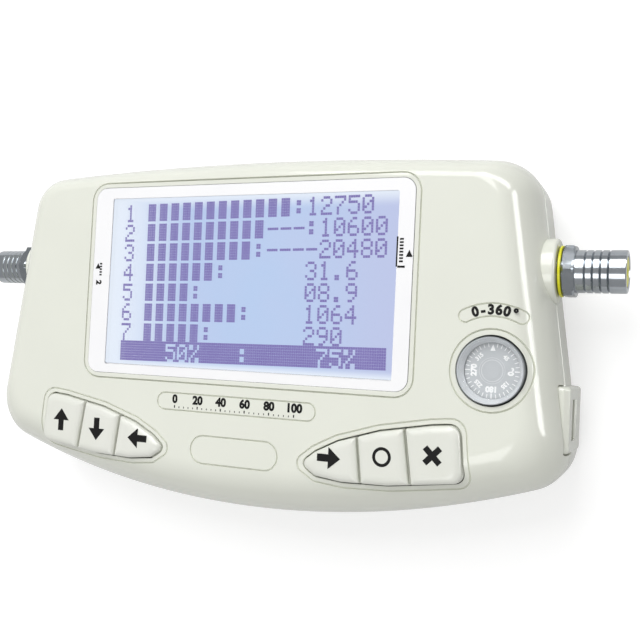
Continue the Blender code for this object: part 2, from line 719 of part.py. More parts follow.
def rear_case():
    """The rear shell, with its lip, strap lugs, posts, screw seats and foot pockets."""
    straight_z = REAR_Z + REAR_ROUNDING
    seam_top = SEAM_Z - FIT_GAP / 2
    rear = edge_rings(even(REAR_DRAFT), even(REAR_DRAFT + REAR_ROUNDING), straight_z, REAR_Z, REAR_EDGE_STEPS)
    case = mesh_object("rear_case", [rear[::-1] + [[(x, y, seam_top) for x, y in even(0)]]], case_plastic())
    lip = tool("rear_lip", [[[(x, y, z) for x, y in even(WALL + LIP_GAP)]
                             for z in (seam_top - LIP_ROOT, SEAM_Z + LIP_HEIGHT)]])
    half = BOSS_RADIUS + FIT_GAP
    gap_low = (BOSS_INNER_X - OVERRUN, CONNECTOR_Y - half, SEAM_Z - LIP_ROOT - OVERRUN)
    gap_high = (CONNECTOR_TIP_X, CONNECTOR_Y + half, SEAM_Z + LIP_HEIGHT + OVERRUN)
    boolean(lip, "DIFFERENCE", tool("lip_gaps", both_sides(box(gap_low, gap_high))))
    boolean(case, "UNION", lip)
    boolean(case, "UNION", tool("rear_bosses", [boss_half(side, False) for side in (1, -1)]))
    boolean(case, "UNION", tool("lug_blocks", both_sides(lug_block(0))))
    boolean(case, "DIFFERENCE", rear_cavity())
    boolean(case, "DIFFERENCE", tool("rear_openings", rear_openings()))
    return case


def rear_cavity():
    lip_inset = WALL + LIP_GAP + LIP_THICKNESS
    inner_rounding = REAR_ROUNDING - WALL
    rings = edge_rings(even(WALL), even(WALL + inner_rounding), FLOOR_Z + inner_rounding, FLOOR_Z,
                       REAR_EDGE_STEPS)[::-1]
    rings.append([(x, y, SEAM_Z - LIP_ROOT - LIP_THICKNESS) for x, y in even(WALL)])
    rings += [[(x, y, z) for x, y in even(lip_inset)]
              for z in (SEAM_Z - LIP_ROOT, SEAM_Z + LIP_HEIGHT + OVERRUN)]
    cavity = tool("rear_cavity", [rings])
    base = REAR_Z - OVERRUN
    keeps = [column(place, CASE_POST_RADIUS, base, SEAM_Z - FIT_GAP / 2, SMALL_ROUND_STEPS)
             for place in case_post_places()]
    keeps += [column(place, MAIN_POST_RADIUS, base, BOARD_UNDER_Z, SMALL_ROUND_STEPS)
              for place in main_screw_places()]
    keeps += [turned(((MAIN_POST_RADIUS, base), (MAIN_POST_RADIUS, BOARD_UNDER_Z),
                      (MAIN_PIN_RADIUS, BOARD_UNDER_Z), (MAIN_PIN_RADIUS, BOARD_UNDER_Z + MAIN_PIN_LENGTH)),
                     place, SMALL_ROUND_STEPS)
              for place in main_pin_places()]
    half = LUG_LENGTH / 2
    keeps += both_sides(box((LUG_BLOCK_X, LUG_Y - half, base),
                            (LUG_OUTER_X, LUG_Y + half, SEAM_Z + LIP_HEIGHT)))
    boolean(cavity, "DIFFERENCE", tool("rear_keeps", keeps))
    boolean(cavity, "DIFFERENCE", tool("rear_boss_keeps", [boss_half(side, False) for side in (1, -1)]))
    return cavity


def rear_openings():
    """What is cut into the rear shell once it is hollow."""
    base = REAR_Z - OVERRUN
    seat = screw_base_z()
    cuts = [turned(((SCREW_HEAD_RADIUS + FIT_GAP, base), (SCREW_HEAD_RADIUS + FIT_GAP, seat),
                    (SCREW_RADIUS + FIT_GAP, seat), (SCREW_RADIUS + FIT_GAP, SEAM_Z + OVERRUN)),
                   place, SMALL_ROUND_STEPS) for place in case_post_places()]
    screw_end = BOARD_OVER_Z - SMALL_SCREW_LENGTH - FIT_GAP
    cuts += [column(place, SMALL_SCREW_RADIUS + FIT_GAP, screw_end, MAIN_BOARD_Z, SMALL_ROUND_STEPS)
             for place in main_screw_places()]
    cuts += [column(place, FOOT_RADIUS + FIT_GAP, base, REAR_Z + FOOT_SEAT + FIT_GAP)
             for place in four_places(UPPER_FOOT, LOWER_FOOT)]
    half = STRAP_SLOT_LENGTH / 2
    top = SEAM_Z + STRAP_SLOT_ABOVE_SEAM
    floor = top - STRAP_SLOT_WIDTH
    path = [(STRAP_EXIT_LOW_X, base), (STRAP_EXIT_HIGH_X, base), (STRAP_EXIT_HIGH_X, floor),
            (LUG_OUTER_X + OVERRUN, floor), (LUG_OUTER_X + OVERRUN, top), (STRAP_EXIT_LOW_X, top)]
    cuts += both_sides([[(x, y, z) for x, z in path] for y in (LUG_Y + half, LUG_Y - half)])
    return cuts + connector_holes()


def window_panel():
    rings = [window_outline(0, WINDOW_CORNER, z) for z in (FACE_Z - WINDOW_THICKNESS, FACE_Z)]
    mesh_object("window_panel", [rings], material("clear_acrylic", "F4F6F8", 0.05))


def display_module():
    """Metal frame, glass, backlight, module board and the header that joins it to the main board."""
    middle = (0, WINDOW_Y)
    frame = mesh_object("lcd_frame", [slab(LCD_WIDTH, LCD_HEIGHT, middle, BACKLIGHT_Z, LCD_TOP_Z)],
                        plated_metal())
    inside = (LCD_WIDTH - 2 * LCD_SKIN, LCD_HEIGHT - 2 * LCD_SKIN)
    view = (LCD_WIDTH - 2 * LCD_LIP_X, LCD_HEIGHT - 2 * LCD_LIP_Y)
    skin_z = LCD_TOP_Z - LCD_SKIN
    hollow = [rectangle(*inside, middle, BACKLIGHT_Z - OVERRUN), rectangle(*inside, middle, skin_z),
              rectangle(*view, middle, skin_z), rectangle(*view, middle, LCD_TOP_Z + OVERRUN)]
    boolean(frame, "DIFFERENCE", tool("lcd_frame_hollow", [hollow]))
    fit = (inside[0] - 2 * FIT_GAP, inside[1] - 2 * FIT_GAP)
    mesh_object("lcd_glass", [slab(*fit, middle, GLASS_Z, GLASS_Z + GLASS_THICKNESS)],
                material("display_glass", "BFCFE6", 0.1))
    mesh_object("lcd_backlight", [slab(*fit, middle, BACKLIGHT_Z, BACKLIGHT_Z + BACKLIGHT_THICKNESS)],
                material("diffuser", "E6E8F4", 0.4))
    top = LCD_BOARD_Z + BOARD_THICKNESS
    board = mesh_object("lcd_board", [slab(LCD_BOARD_WIDTH, LCD_BOARD_HEIGHT, middle, LCD_BOARD_Z, top)],
                        board_laminate())
    holes = [column(place, LCD_PIN_RADIUS + FIT_GAP, LCD_BOARD_Z - OVERRUN, top + OVERRUN, SMALL_ROUND_STEPS)
             for place in lcd_post_places()]
    boolean(board, "DIFFERENCE", tool("lcd_board_holes", holes))
    spot = (0, MAIN_BOARD_TOP_Y - HEADER_TO_BOARD_TOP)
    mesh_object("lcd_header", [slab(HEADER_LENGTH, HEADER_WIDTH, spot, BOARD_OVER_Z, LCD_BOARD_Z - FIT_GAP)],
                dark_plastic())


def main_board():
    low = (-BOARD_EDGE_X, MAIN_BOARD_BOTTOM_Y, MAIN_BOARD_Z)
    high = (BOARD_EDGE_X, MAIN_BOARD_TOP_Y, MAIN_BOARD_Z + BOARD_THICKNESS)
    board = mesh_object("main_board", [box(low, high)], board_laminate())
    below, above = MAIN_BOARD_Z - OVERRUN, MAIN_BOARD_Z + BOARD_THICKNESS + OVERRUN
    holes = [column(place, SMALL_SCREW_RADIUS + FIT_GAP, below, above, SMALL_ROUND_STEPS)
             for place in main_screw_places()]
    holes += [column(place, MAIN_PIN_RADIUS + FIT_GAP, below, above, SMALL_ROUND_STEPS)
              for place in main_pin_places()]
    boolean(board, "DIFFERENCE", tool("main_board_holes", holes))
    board_parts()


def board_parts():
    """The larger parts on the main board's two sides."""
    can_low = FLOOR_Z + CAN_TO_FLOOR
    can = mesh_object("tuner_can", [slab(CAN_WIDTH, CAN_HEIGHT, (0, CAN_Y), can_low, BOARD_UNDER_Z)],
                      plated_metal())
    hollow = slab(CAN_WIDTH - 2 * CAN_WALL, CAN_HEIGHT - 2 * CAN_WALL, (0, CAN_Y), can_low + CAN_WALL,
                  BOARD_UNDER_Z + OVERRUN)
    boolean(can, "DIFFERENCE", tool("tuner_can_hollow", [hollow]))
    chip = (CHIP_X, WINDOW_Y - CHIP_BELOW_WINDOW)
    coil = (COIL_TO_EDGE - BOARD_EDGE_X, WINDOW_Y - COIL_BELOW_WINDOW)
    for name, size, thickness, spot in (("processor", CHIP_SIZE, CHIP_THICKNESS, chip),
                                        ("power_coil", COIL_SIZE, COIL_THICKNESS, coil)):
        mesh_object(name, [slab(size, size, spot, BOARD_OVER_Z, BOARD_OVER_Z + thickness)], dark_plastic())
    y = CAN_BOTTOM_Y - CAPACITOR_BELOW_CAN - CAPACITOR_RADIUS
    for number, x in enumerate(CAPACITOR_X, 1):
        mesh_object(f"capacitor_{number}", [column((x, y), CAPACITOR_RADIUS, FLOOR_Z + CAPACITOR_TO_FLOOR,
                                                   BOARD_UNDER_Z, SMALL_ROUND_STEPS)],
                    material("capacitor_sleeve", "2B3A55", 0.4))
    spot = (-CAN_WIDTH / 2 - BUZZER_OVER_CAN, CAN_BOTTOM_Y - BUZZER_RADIUS)
    foot = BOARD_UNDER_Z - BUZZER_HEIGHT
    profile = ((BUZZER_HOLE_RADIUS, foot + BUZZER_HOLE_DEPTH), (BUZZER_HOLE_RADIUS, foot),
               (BUZZER_RADIUS, foot), (BUZZER_RADIUS, BOARD_UNDER_Z))
    mesh_object("buzzer", [turned(profile, spot, SMALL_ROUND_STEPS)], dark_plastic())


def key_board():
    """The board under the keys, its switches and its cable."""
    end, top, low = KEY_BOARD_END_X, KEY_BOARD_TOP_Y, KEY_BOARD_BOTTOM_Y
    outline = [(-end + KEY_BOARD_CUT_X, low), (end - KEY_BOARD_CUT_X, low), (end, low + KEY_BOARD_CUT_Y),
               (end, top), (-end, top), (-end, low + KEY_BOARD_CUT_Y)]
    over = KEY_BOARD_Z + BOARD_THICKNESS
    board = mesh_object("key_board", [[[(x, y, z) for x, y in outline] for z in (KEY_BOARD_Z, over)]],
                        board_laminate())
    holes = [column(place, SMALL_SCREW_RADIUS + FIT_GAP, KEY_BOARD_Z - OVERRUN, over + OVERRUN,
                    SMALL_ROUND_STEPS) for place in key_post_places()]
    boolean(board, "DIFFERENCE", tool("key_board_holes", holes))
    ribbon()


def ribbon():
    """The flat cable from under the key board to under the main board."""
    start = KEY_BOARD_TOP_Y - RIBBON_LAP
    end = MAIN_BOARD_BOTTOM_Y + RIBBON_LAP
    high = KEY_BOARD_Z - FIT_GAP - RIBBON_THICKNESS
    low = BOARD_UNDER_Z - RIBBON_THICKNESS
    lap = RIBBON_LAP / (end - start)
    rings = []
    for k in range(RIBBON_STEPS + 1):
        share = k / RIBBON_STEPS
        ramp = min(max((share - lap) / (1 - 2 * lap), 0), 1)
        z = high + (low - high) * (1 - math.cos(math.pi * ramp)) / 2
        y = start + (end - start) * share
        half, top = RIBBON_WIDTH / 2, z + RIBBON_THICKNESS
        rings.append([(-half, y, z), (half, y, z), (half, y, top), (-half, y, top)])
    mesh_object("key_ribbon", [rings], material("flat_cable", "D8D8D2", 0.5))


def key_rings(index, side):
    """One key cap's rings, from its flange up to its rounded top."""
    flange = key_outline(index, KEY_SIDE_GAP + KEY_FLANGE_REACH)
    body = key_outline(index, 0)
    top = FACE_Z + KEY_PROUD
    rings = [rounded(flange, CLUSTER_ROUNDING, z) for z in (KEY_BASE_Z, KEY_BASE_Z + KEY_FLANGE)]
    rings += [rounded(body, CLUSTER_ROUNDING, z) for z in (KEY_BASE_Z + KEY_FLANGE, top - KEY_EDGE)]
    for turn in (math.pi / 4, math.pi / 2):
        inset = KEY_EDGE * (1 - math.cos(turn))
        rings.append(rounded(grown(body, -inset), CLUSTER_ROUNDING, top - KEY_EDGE * (1 - math.sin(turn))))
    return rings if side > 0 else mirrored(rings)


def keys():
    """Six caps, and under each a switch with its plunger."""
    for side, names in KEY_NAMES.items():
        for index, label in enumerate(names):
            x, y = middle_of(key_outline(index, 0))
            spot = (side * x, y)
            mesh_object(f"key_{label}", [key_rings(index, side)], key_plastic(), (*spot, KEY_BASE_Z))
            block = slab(SWITCH_SIZE, SWITCH_SIZE, spot, SWITCH_Z, SWITCH_TOP_Z)
            switch = mesh_object(f"switch_{label}", [block], dark_plastic())
            well = column(spot, SWITCH_PLUNGER_RADIUS + FIT_GAP, SWITCH_TOP_Z - SWITCH_WELL_DEPTH,
                          SWITCH_TOP_Z + OVERRUN, SMALL_ROUND_STEPS)
            boolean(switch, "DIFFERENCE", tool(f"switch_well_{label}", [well]))
            mesh_object(f"plunger_{label}", [column(spot, SWITCH_PLUNGER_RADIUS,
                                                    PLUNGER_TOP_Z - SWITCH_PLUNGER_LENGTH, PLUNGER_TOP_Z,
                                                    SMALL_ROUND_STEPS)],
                        material("plunger_plastic", "3A3A3C", 0.45), (*spot, PLUNGER_TOP_Z))


def compass():
    """Capsule, pivot, free-turning card and clear lens."""
    spot = (COMPASS_X, COMPASS_Y)
    inner = COMPASS_RADIUS - COMPASS_WALL
    flange = COMPASS_RADIUS + COMPASS_FLANGE_REACH
    floor = COMPASS_FLOOR_Z - COMPASS_FLOOR
    rim = LENS_Z - FIT_GAP
    profile = ((flange, floor), (flange, COMPASS_FLOOR_Z), (COMPASS_RADIUS, COMPASS_FLOOR_Z),
               (COMPASS_RADIUS, rim), (inner, rim), (inner, COMPASS_FLOOR_Z))
    mesh_object("compass_cup", [turned(profile, spot)], material("compass_grey", "8E9294", 0.4))
    top = LENS_Z + COMPASS_LENS_THICKNESS
    shoulder = top - COMPASS_LENS_DOME
    crown = COMPASS_RADIUS - COMPASS_LENS_DOME
    profile = ((COMPASS_RADIUS, LENS_Z), (COMPASS_RADIUS, shoulder), (crown, top))
    mesh_object("compass_lens", [turned(profile, spot)], material("compass_clear", "EEF2F4", 0.05))
    bore = PIVOT_RADIUS + FIT_GAP
    card_top = CARD_Z + CARD_THICKNESS
    rings = turned(((CARD_RADIUS, CARD_Z), (CARD_RADIUS, card_top), (bore, card_top),
                    (bore, CARD_Z - CARD_HUB_DEPTH), (CARD_HUB_RADIUS, CARD_Z - CARD_HUB_DEPTH),
                    (CARD_HUB_RADIUS, CARD_Z)), spot)
    mesh_object("compass_card", [rings], material("compass_card_grey", "B8BCBF", 0.5), (*spot, CARD_Z), True)
    foot = COMPASS_FLOOR_Z + FIT_GAP
    profile = ((PIVOT_FOOT_RADIUS, foot), (PIVOT_FOOT_RADIUS, foot + PIVOT_FOOT),
               (PIVOT_RADIUS, foot + PIVOT_FOOT), (PIVOT_RADIUS, card_top))
    mesh_object("compass_pivot", [turned(profile, spot, SMALL_ROUND_STEPS)],
                material("brass", "B99A55", 0.3, 1.0))


def hexagon(across, height):
    """A ring round a hexagon, with as many points as a round ring and a flat on its start."""
    ring = []
    for i in range(ROUND_STEPS):
        turn = 2 * math.pi * i / ROUND_STEPS
        from_flat = (turn + math.pi / 6) % (math.pi / 3) - math.pi / 6
        radius = across / 2 / math.cos(from_flat)
        ring.append((radius * math.cos(turn), radius * math.sin(turn), height))
    return ring


def connector_rings():
    """A connector's metal body, from its inner end out to its tip and back down its bore."""
    rings = turned(((SHANK_BORE_RADIUS, SHANK_END_X), (SHANK_RADIUS, SHANK_END_X), (SHANK_RADIUS, HEX_X)))
    rings += [hexagon(HEX_ACROSS, HEX_X), hexagon(HEX_ACROSS, BARREL_X)]
    root = BARREL_RADIUS - THREAD_DEPTH
    profile = [(BARREL_RADIUS, BARREL_X)]
    for k in range(THREAD_COUNT):
        start = BARREL_X + THREAD_START + THREAD_PITCH * k
        end = start + THREAD_GROOVE
        profile += [(BARREL_RADIUS, start), (root, start), (root, end), (BARREL_RADIUS, end)]
    bore, bottom = BORE_RADIUS + FIT_GAP, CONNECTOR_TIP_X - BORE_DEPTH
    profile += [(BARREL_RADIUS, CONNECTOR_TIP_X), (bore, CONNECTOR_TIP_X), (bore, bottom),
                (SHANK_BORE_RADIUS, bottom)]
    return rings + turned(profile)


def connectors():
    """On each side: metal body, yellow ring, insulator and centre contact."""
    yellow = material("yellow_plastic", "EEEC1E", 0.4)
    bottom = CONNECTOR_TIP_X - BORE_DEPTH
    tip = CONNECTOR_TIP_X - INSULATOR_INSET
    hole = CONTACT_RADIUS + FIT_GAP
    bodies = (("body", connector_rings(), plated_metal()),
              ("ring", turned(((SHANK_RADIUS + FIT_GAP, WASHER_X), (WASHER_RADIUS, WASHER_X),
                               (WASHER_RADIUS, WASHER_X + WASHER_THICKNESS),
                               (SHANK_RADIUS + FIT_GAP, WASHER_X + WASHER_THICKNESS))), yellow),
              ("insulator", turned(((hole, SHANK_END_X), (SLEEVE_RADIUS, SHANK_END_X),
                                    (SLEEVE_RADIUS, bottom + FIT_GAP), (BORE_RADIUS, bottom + FIT_GAP),
                                    (BORE_RADIUS, tip), (hole, tip))), yellow))
    for side, place in ((-1, "left"), (1, "right")):
        for name, rings, paint in bodies:
            mesh_object(f"connector_{name}_{place}", [along_x(rings, side, CONNECTOR_Y, SEAM_Z)], paint,
                        None, True)
        contact = column((0, 0), CONTACT_RADIUS, BOARD_EDGE_X - CONTACT_LAP, tip - CONTACT_INSET,
                         SMALL_ROUND_STEPS)
        mesh_object(f"connector_contact_{place}", [along_x(contact, side, CONNECTOR_Y, SEAM_Z)],
                    material("contact_bronze", "C0A060", 0.3, 1.0))


def screw(name, place, seat, down, radius, head_radius, head_height, length):
    """A screw whose head's underside is at the seat, with its head below it or above it."""
    way = 1 if down else -1
    head = seat - way * head_height
    profile = ((DRIVE_RADIUS, head + way * DRIVE_DEPTH), (DRIVE_RADIUS, head), (head_radius, head),
               (head_radius, seat), (radius, seat), (radius, seat + way * length))
    mesh_object(name, [turned(profile, place, SMALL_ROUND_STEPS)], screw_steel())


def screws():
    for number, place in enumerate(case_post_places(), 1):
        screw(f"case_screw_{number}", place, screw_base_z() - FIT_GAP, True, SCREW_RADIUS,
              SCREW_HEAD_RADIUS, SCREW_HEAD_HEIGHT, SCREW_LENGTH)
    small = (SMALL_SCREW_RADIUS, SMALL_SCREW_HEAD_RADIUS, SMALL_SCREW_HEAD_HEIGHT, SMALL_SCREW_LENGTH)
    for number, place in enumerate(main_screw_places(), 1):
        screw(f"board_screw_{number}", place, BOARD_OVER_Z, False, *small)
    for number, place in enumerate(key_post_places(), 1):
        screw(f"key_board_screw_{number}", place, KEY_BOARD_Z - FIT_GAP, True, *small)


def feet():
    for number, place in enumerate(four_places(UPPER_FOOT, LOWER_FOOT), 1):
        mesh_object(f"foot_{number}", [column(place, FOOT_RADIUS, 0, REAR_Z + FOOT_SEAT)],
                    material("foot_rubber", "9A9B98", 0.8))


clear_scene()
front_case()
rear_case()
window_panel()
display_module()
main_board()
key_board()
keys()
compass()
connectors()
screws()
feet()
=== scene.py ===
import math

import bmesh
import bpy
from mathutils import Matrix, Vector


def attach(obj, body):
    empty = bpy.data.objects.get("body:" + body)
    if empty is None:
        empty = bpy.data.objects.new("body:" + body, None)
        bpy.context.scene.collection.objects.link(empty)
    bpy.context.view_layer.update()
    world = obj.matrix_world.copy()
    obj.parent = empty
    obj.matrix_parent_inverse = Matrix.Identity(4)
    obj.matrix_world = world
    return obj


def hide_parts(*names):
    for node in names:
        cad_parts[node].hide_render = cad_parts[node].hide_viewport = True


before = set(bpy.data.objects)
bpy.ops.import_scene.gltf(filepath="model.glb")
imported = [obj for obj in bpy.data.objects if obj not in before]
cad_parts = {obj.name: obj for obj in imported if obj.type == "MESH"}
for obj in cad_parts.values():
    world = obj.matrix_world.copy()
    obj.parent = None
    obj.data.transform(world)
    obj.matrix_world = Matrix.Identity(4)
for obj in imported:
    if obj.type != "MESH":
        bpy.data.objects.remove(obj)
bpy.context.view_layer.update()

MM = 0.001

# Case outline and levels, as in the part's source
TOP_Y, BOTTOM_Y, SIDE_X, SIDE_SLOPE = 43.55, -43.55, 72.8, 0.145
TOP_ARC, BOTTOM_ARC, TOP_CORNER, BOTTOM_CORNER = 909.0, 219.4, 10.0, 10.1
TOP_CORNER_SHARE, BOTTOM_CORNER_SHARE = 0.5, 0.2
TOP_ROUND, SIDE_ROUND, BOTTOM_ROUND = 5.9, 8.5, 11.8
REAR_Z, SEAM_Z, FACE_Z = 1.5, 17.5, 31.5
REAR_ROUND, REAR_DRAFT, WALL, GAP, OVER = 5.2, 0.3, 2.2, 0.3, 3.0
SEAM_EDGE, LIP_TOP, LUG_WALL_X = 0.3, SEAM_Z + 1.8, 68.2

# Window and display
WINDOW_Y, WINDOW_W, WINDOW_H, WINDOW_R, WINDOW_THICK = 12.3, 88.0, 48.0, 3.0, 1.2
SEAT_Z = FACE_Z - WINDOW_THICK - GAP
LEDGE, FRAME_RIM, FRAME_DEPTH, BORDER_THICK = 1.2, 2.0, 3.2, 0.04
VIEW_X, VIEW_Y = (-38.7, 40.2), (-9.5, 33.5)
GLASS_HALF_X, GLASS_HALF_Y, GLASS_Z, GLASS_TOP = 41.1, 21.6, 27.3, 29.1

# Plates outlined on the face: left, right, low and high, or two radii and half a turn
SCALE_PLATE, BARE_PLATE = (-21.6, 22.0, -19.9, -15.7), (-11.2, 12.7, -32.4, -25.6)
BENT_PLATE, BENT_TEXT_R = (11.65, 14.45, math.radians(27.5)), 13.0
SCALE_X, SCALE_STEP, SCALE_Y = -16.5, 6.6, -19.35
PRINT = 0.05

# Keys
TIP_X, END_X, KEYS_LOW, KEYS_HIGH = 18.9, 57.4, -32.9, 14.9
KEY_SHARES = ((0.00, 0.22), (0.10, 0.05), (0.27, 0.00), (0.55, 0.02), (0.85, 0.119), (1.00, 0.17),
              (0.97, 1.00), (0.81, 0.96), (0.496, 0.812), (0.236, 0.604), (0.094, 0.416))
SPLITS = ((0.642, 0.700), (0.343, 0.392))
KEY_ROUND, END_ROUND, SPLIT_ROUND, KEY_GAP, SPLIT_GAP, WELL_WALL = 1.4, 2.4, 0.3, 0.35, 0.6, 1.3
KEY_SEAT_Z, KEY_BASE_Z, KEY_TOP_Z, KEY_FLANGE, FLANGE_REACH = 25.0, 23.7, 32.7, 1.0, 0.7
KEY_SOFT, KEY_DROP, KEY_STEP, KEY_STEP_Z = 2.0, 1.1, 0.12, 30.6
KEY_NAMES = {-1: ("up", "down", "left"), 1: ("exit", "ok", "right")}

# Compass
DIAL, DIAL_R, RING_R, TUBE_WALL, TUBE_Z = (62.4, -5.9), 7.55, 8.91, 1.7, 24.5
CUP_R, CUP_Z, CUP_STEP, CUP_FLOOR, CUP_BORE = 9.25, 23.0, 24.2, 28.9, 5.5
LENS_Z, LENS_TOP, CARD_Z, CARD_TOP, CARD_R = 30.7, 32.1, 29.3, 29.9, 6.95

# Connectors, lugs, screws and feet
AXIS_Y, TIP, BARREL_X, HEX_X, RING_X, BOSS_X = 16.8, 88.2, 77.4, 74.9, 74.0, 73.7
BARREL_R, HEX_R, SHANK_R, SHANK_IN, BORE_R, BORE, CORE_R = 4.75, 5.5, 4.0, 66.0, 3.7, 8.0, 1.7
BOSS_R, BOSS_IN, BOSS_EDGE = 7.35, 68.2, 0.7
GROOVES, GROOVE_START, GROOVE_PITCH, GROOVE_DEPTH = 4, 1.9, 1.65, 0.35
LUG_Y, LUG_HALF, LUG_IN, LUG_OUT = -15.9, 7.3, 72.5, 77.8
LUG_LOW, LUG_HIGH, LUG_EDGE = 6.0, 22.9, 0.9
STRAP_X, STRAP_Z, STRAP_HALF, STRAP_EDGE = (69.4, 74.1), (13.4, 18.4), 4.5, 0.4
CASE_SCREWS = ((60.0, 33.1), (63.8, -25.7))
POST_R, SCREW_R, HEAD_R, SCREW_SEAT, SCREW_TOP = 3.4, 1.5, 2.8, 7.8, 22.1
FEET = ((45.0, 32.3), (46.0, -25.7))
FOOT_R, FOOT_TOP = 5.0, 2.5

# Points round a turned piece, and along the round end of a plate
STEPS, END_STEPS = 96, 14


# Shapes


def fill(mesh, rings, closed=False):
    """Adds one closed body that runs through rings of equally many points."""
    rows = [[mesh.verts.new(Vector(p) * MM) for p in ring] for ring in rings]
    for low, high in zip(rows, rows[1:] + rows[:1] if closed else rows[1:]):
        for i in range(len(low)):
            j = (i + 1) % len(low)
            mesh.faces.new((low[i], low[j], high[j], high[i]))
    if not closed:
        mesh.faces.new(rows[0][::-1])
        mesh.faces.new(rows[-1])


def placed(name, data):
    """Puts a mesh, a lamp or a camera in the scene."""
    made = bpy.data.objects.new(name, data)
    bpy.context.scene.collection.objects.link(made)
    return made


def finished(name, mesh):
    """Makes a piece of a mesh that was drawn, with its faces turned outwards."""
    bmesh.ops.recalc_face_normals(mesh, faces=mesh.faces)
    data = bpy.data.meshes.new(name)
    mesh.to_mesh(data)
    mesh.free()
    return placed(name, data)


def solid(name, bodies, closed=False, flat_faces=False):
    mesh = bmesh.new()
    for rings in bodies:
        fill(mesh, rings, closed)
    if flat_faces:
        bmesh.ops.triangulate(mesh, faces=mesh.faces)
    return finished(name, mesh)


def final_mesh(made):
    """The mesh of an object as its modifiers or its letters leave it."""
    seen = made.evaluated_get(bpy.context.evaluated_depsgraph_get())
    return bpy.data.meshes.new_from_object(seen)


def settle(piece):
    """Turns the piece's modifiers into its own mesh."""
    made, old = final_mesh(piece), piece.data
    piece.modifiers.clear()
    piece.data = made
    bpy.data.meshes.remove(old)
    made.name = piece.name


def carve(piece, operation, *cutters):
    """Joins the cutters to a piece or cuts them out of it, one after the other."""
    for cutter in cutters:
        step = piece.modifiers.new(cutter.name, "BOOLEAN")
        step.operation, step.solver, step.object = operation, "EXACT", cutter
    settle(piece)
    for cutter in cutters:
        bpy.data.objects.remove(cutter, do_unlink=True)


def smooth(piece, degrees):
    piece.data.shade_smooth()
    piece.data.set_sharp_from_angle(angle=math.radians(degrees))
    step = piece.modifiers.new("even_shading", "WEIGHTED_NORMAL")
    step.keep_sharp = True


def fit(piece, body, slot, finish, *nodes, degrees=32):
    """Smooths a piece, gives it its finish and body, and lets it stand for CAD nodes."""
    smooth(piece, degrees)
    piece.data.materials.clear()
    piece.data.materials.append(finish)
    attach(piece, body)
    if nodes:
        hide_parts(*nodes)


def polar(centre, radius, turn):
    return centre[0] + radius * math.cos(turn), centre[1] + radius * math.sin(turn)


def circle(radius, z, centre=(0, 0), steps=STEPS):
    turn = 2 * math.pi / steps
    return [(*polar(centre, radius, turn * i), z) for i in range(steps)]


def turned(profile, centre=(0, 0), steps=STEPS):
    return [circle(radius, z, centre, steps) for radius, z in profile]


def quarter(steps):
    """The angles of a quarter turn, in equal steps."""
    return [math.pi / 2 * k / steps for k in range(steps + 1)]


def along_x(rings, side):
    """Lays a turned piece along a connector's axis."""
    return [[(side * high, AXIS_Y + a, SEAM_Z + side * b) for a, b, high in ring] for ring in rings]


def mirrored(rings):
    return [[(-x, y, z) for x, y, z in reversed(ring)] for ring in rings]


def both(rings):
    return [rings, mirrored(rings)]


def level(outline, z):
    return [(p[0], p[1], z) for p in outline]


def bar(left, right, low, high):
    return [(left, low), (right, low), (right, high), (left, high)]


def box(low, high):
    return [level(bar(low[0], high[0], low[1], high[1]), z) for z in (low[2], high[2])]


def rounded(outline, radius, z, steps=8):
    """A ring round a convex, anticlockwise outline, with one radius for its corners or one each."""
    ring = []
    count = len(outline)
    radii = radius if isinstance(radius, list) else [radius] * count
    for i in range(count):
        corner = Vector(outline[i])
        back = Vector(outline[i - 1]) - corner
        ahead = Vector(outline[(i + 1) % count]) - corner
        half = back.angle(ahead) / 2
        reach = min(radii[i] / math.tan(half), back.length * 0.45, ahead.length * 0.45)
        size = reach * math.tan(half)
        inward = (back.normalized() + ahead.normalized()).normalized()
        centre = corner + inward * (size / math.sin(half))
        start = corner + back.normalized() * reach - centre
        first = math.atan2(start.y, start.x)
        for k in range(steps + 1):
            angle = first + (math.pi - 2 * half) * k / steps
            ring.append((*polar(centre, size, angle), z))
    return ring


def grown(outline, reach):
    """A convex outline given anticlockwise, with each edge moved out."""
    count = len(outline)
    lines = []
    for i in range(count):
        a = Vector(outline[i])
        along = (Vector(outline[(i + 1) % count]) - a).normalized()
        lines.append((a + Vector((along.y, -along.x)) * reach, along))
    moved = []
    for i in range(count):
        (p, u), (q, v) = lines[i - 1], lines[i]
        moved.append(tuple(p + u * ((q - p).cross(v) / u.cross(v))))
    return moved


def clipped(outline, point, inward):
    """The part of a convex outline on the inward side of a line."""
    kept = []
    depths = [(Vector(p) - point).dot(inward) for p in outline]
    for i in range(len(outline)):
        a, b = Vector(outline[i]), Vector(outline[(i + 1) % len(outline)])
        da, db = depths[i], depths[(i + 1) % len(outline)]
        if da >= 0:
            kept.append(tuple(a))
        if da * db < 0:
            kept.append(tuple(a + (b - a) * (da / (da - db))))
    return kept


def arc(centre, radius, start, end, steps):
    return [polar(centre, radius, start + (end - start) * k / steps) for k in range(steps + 1)]


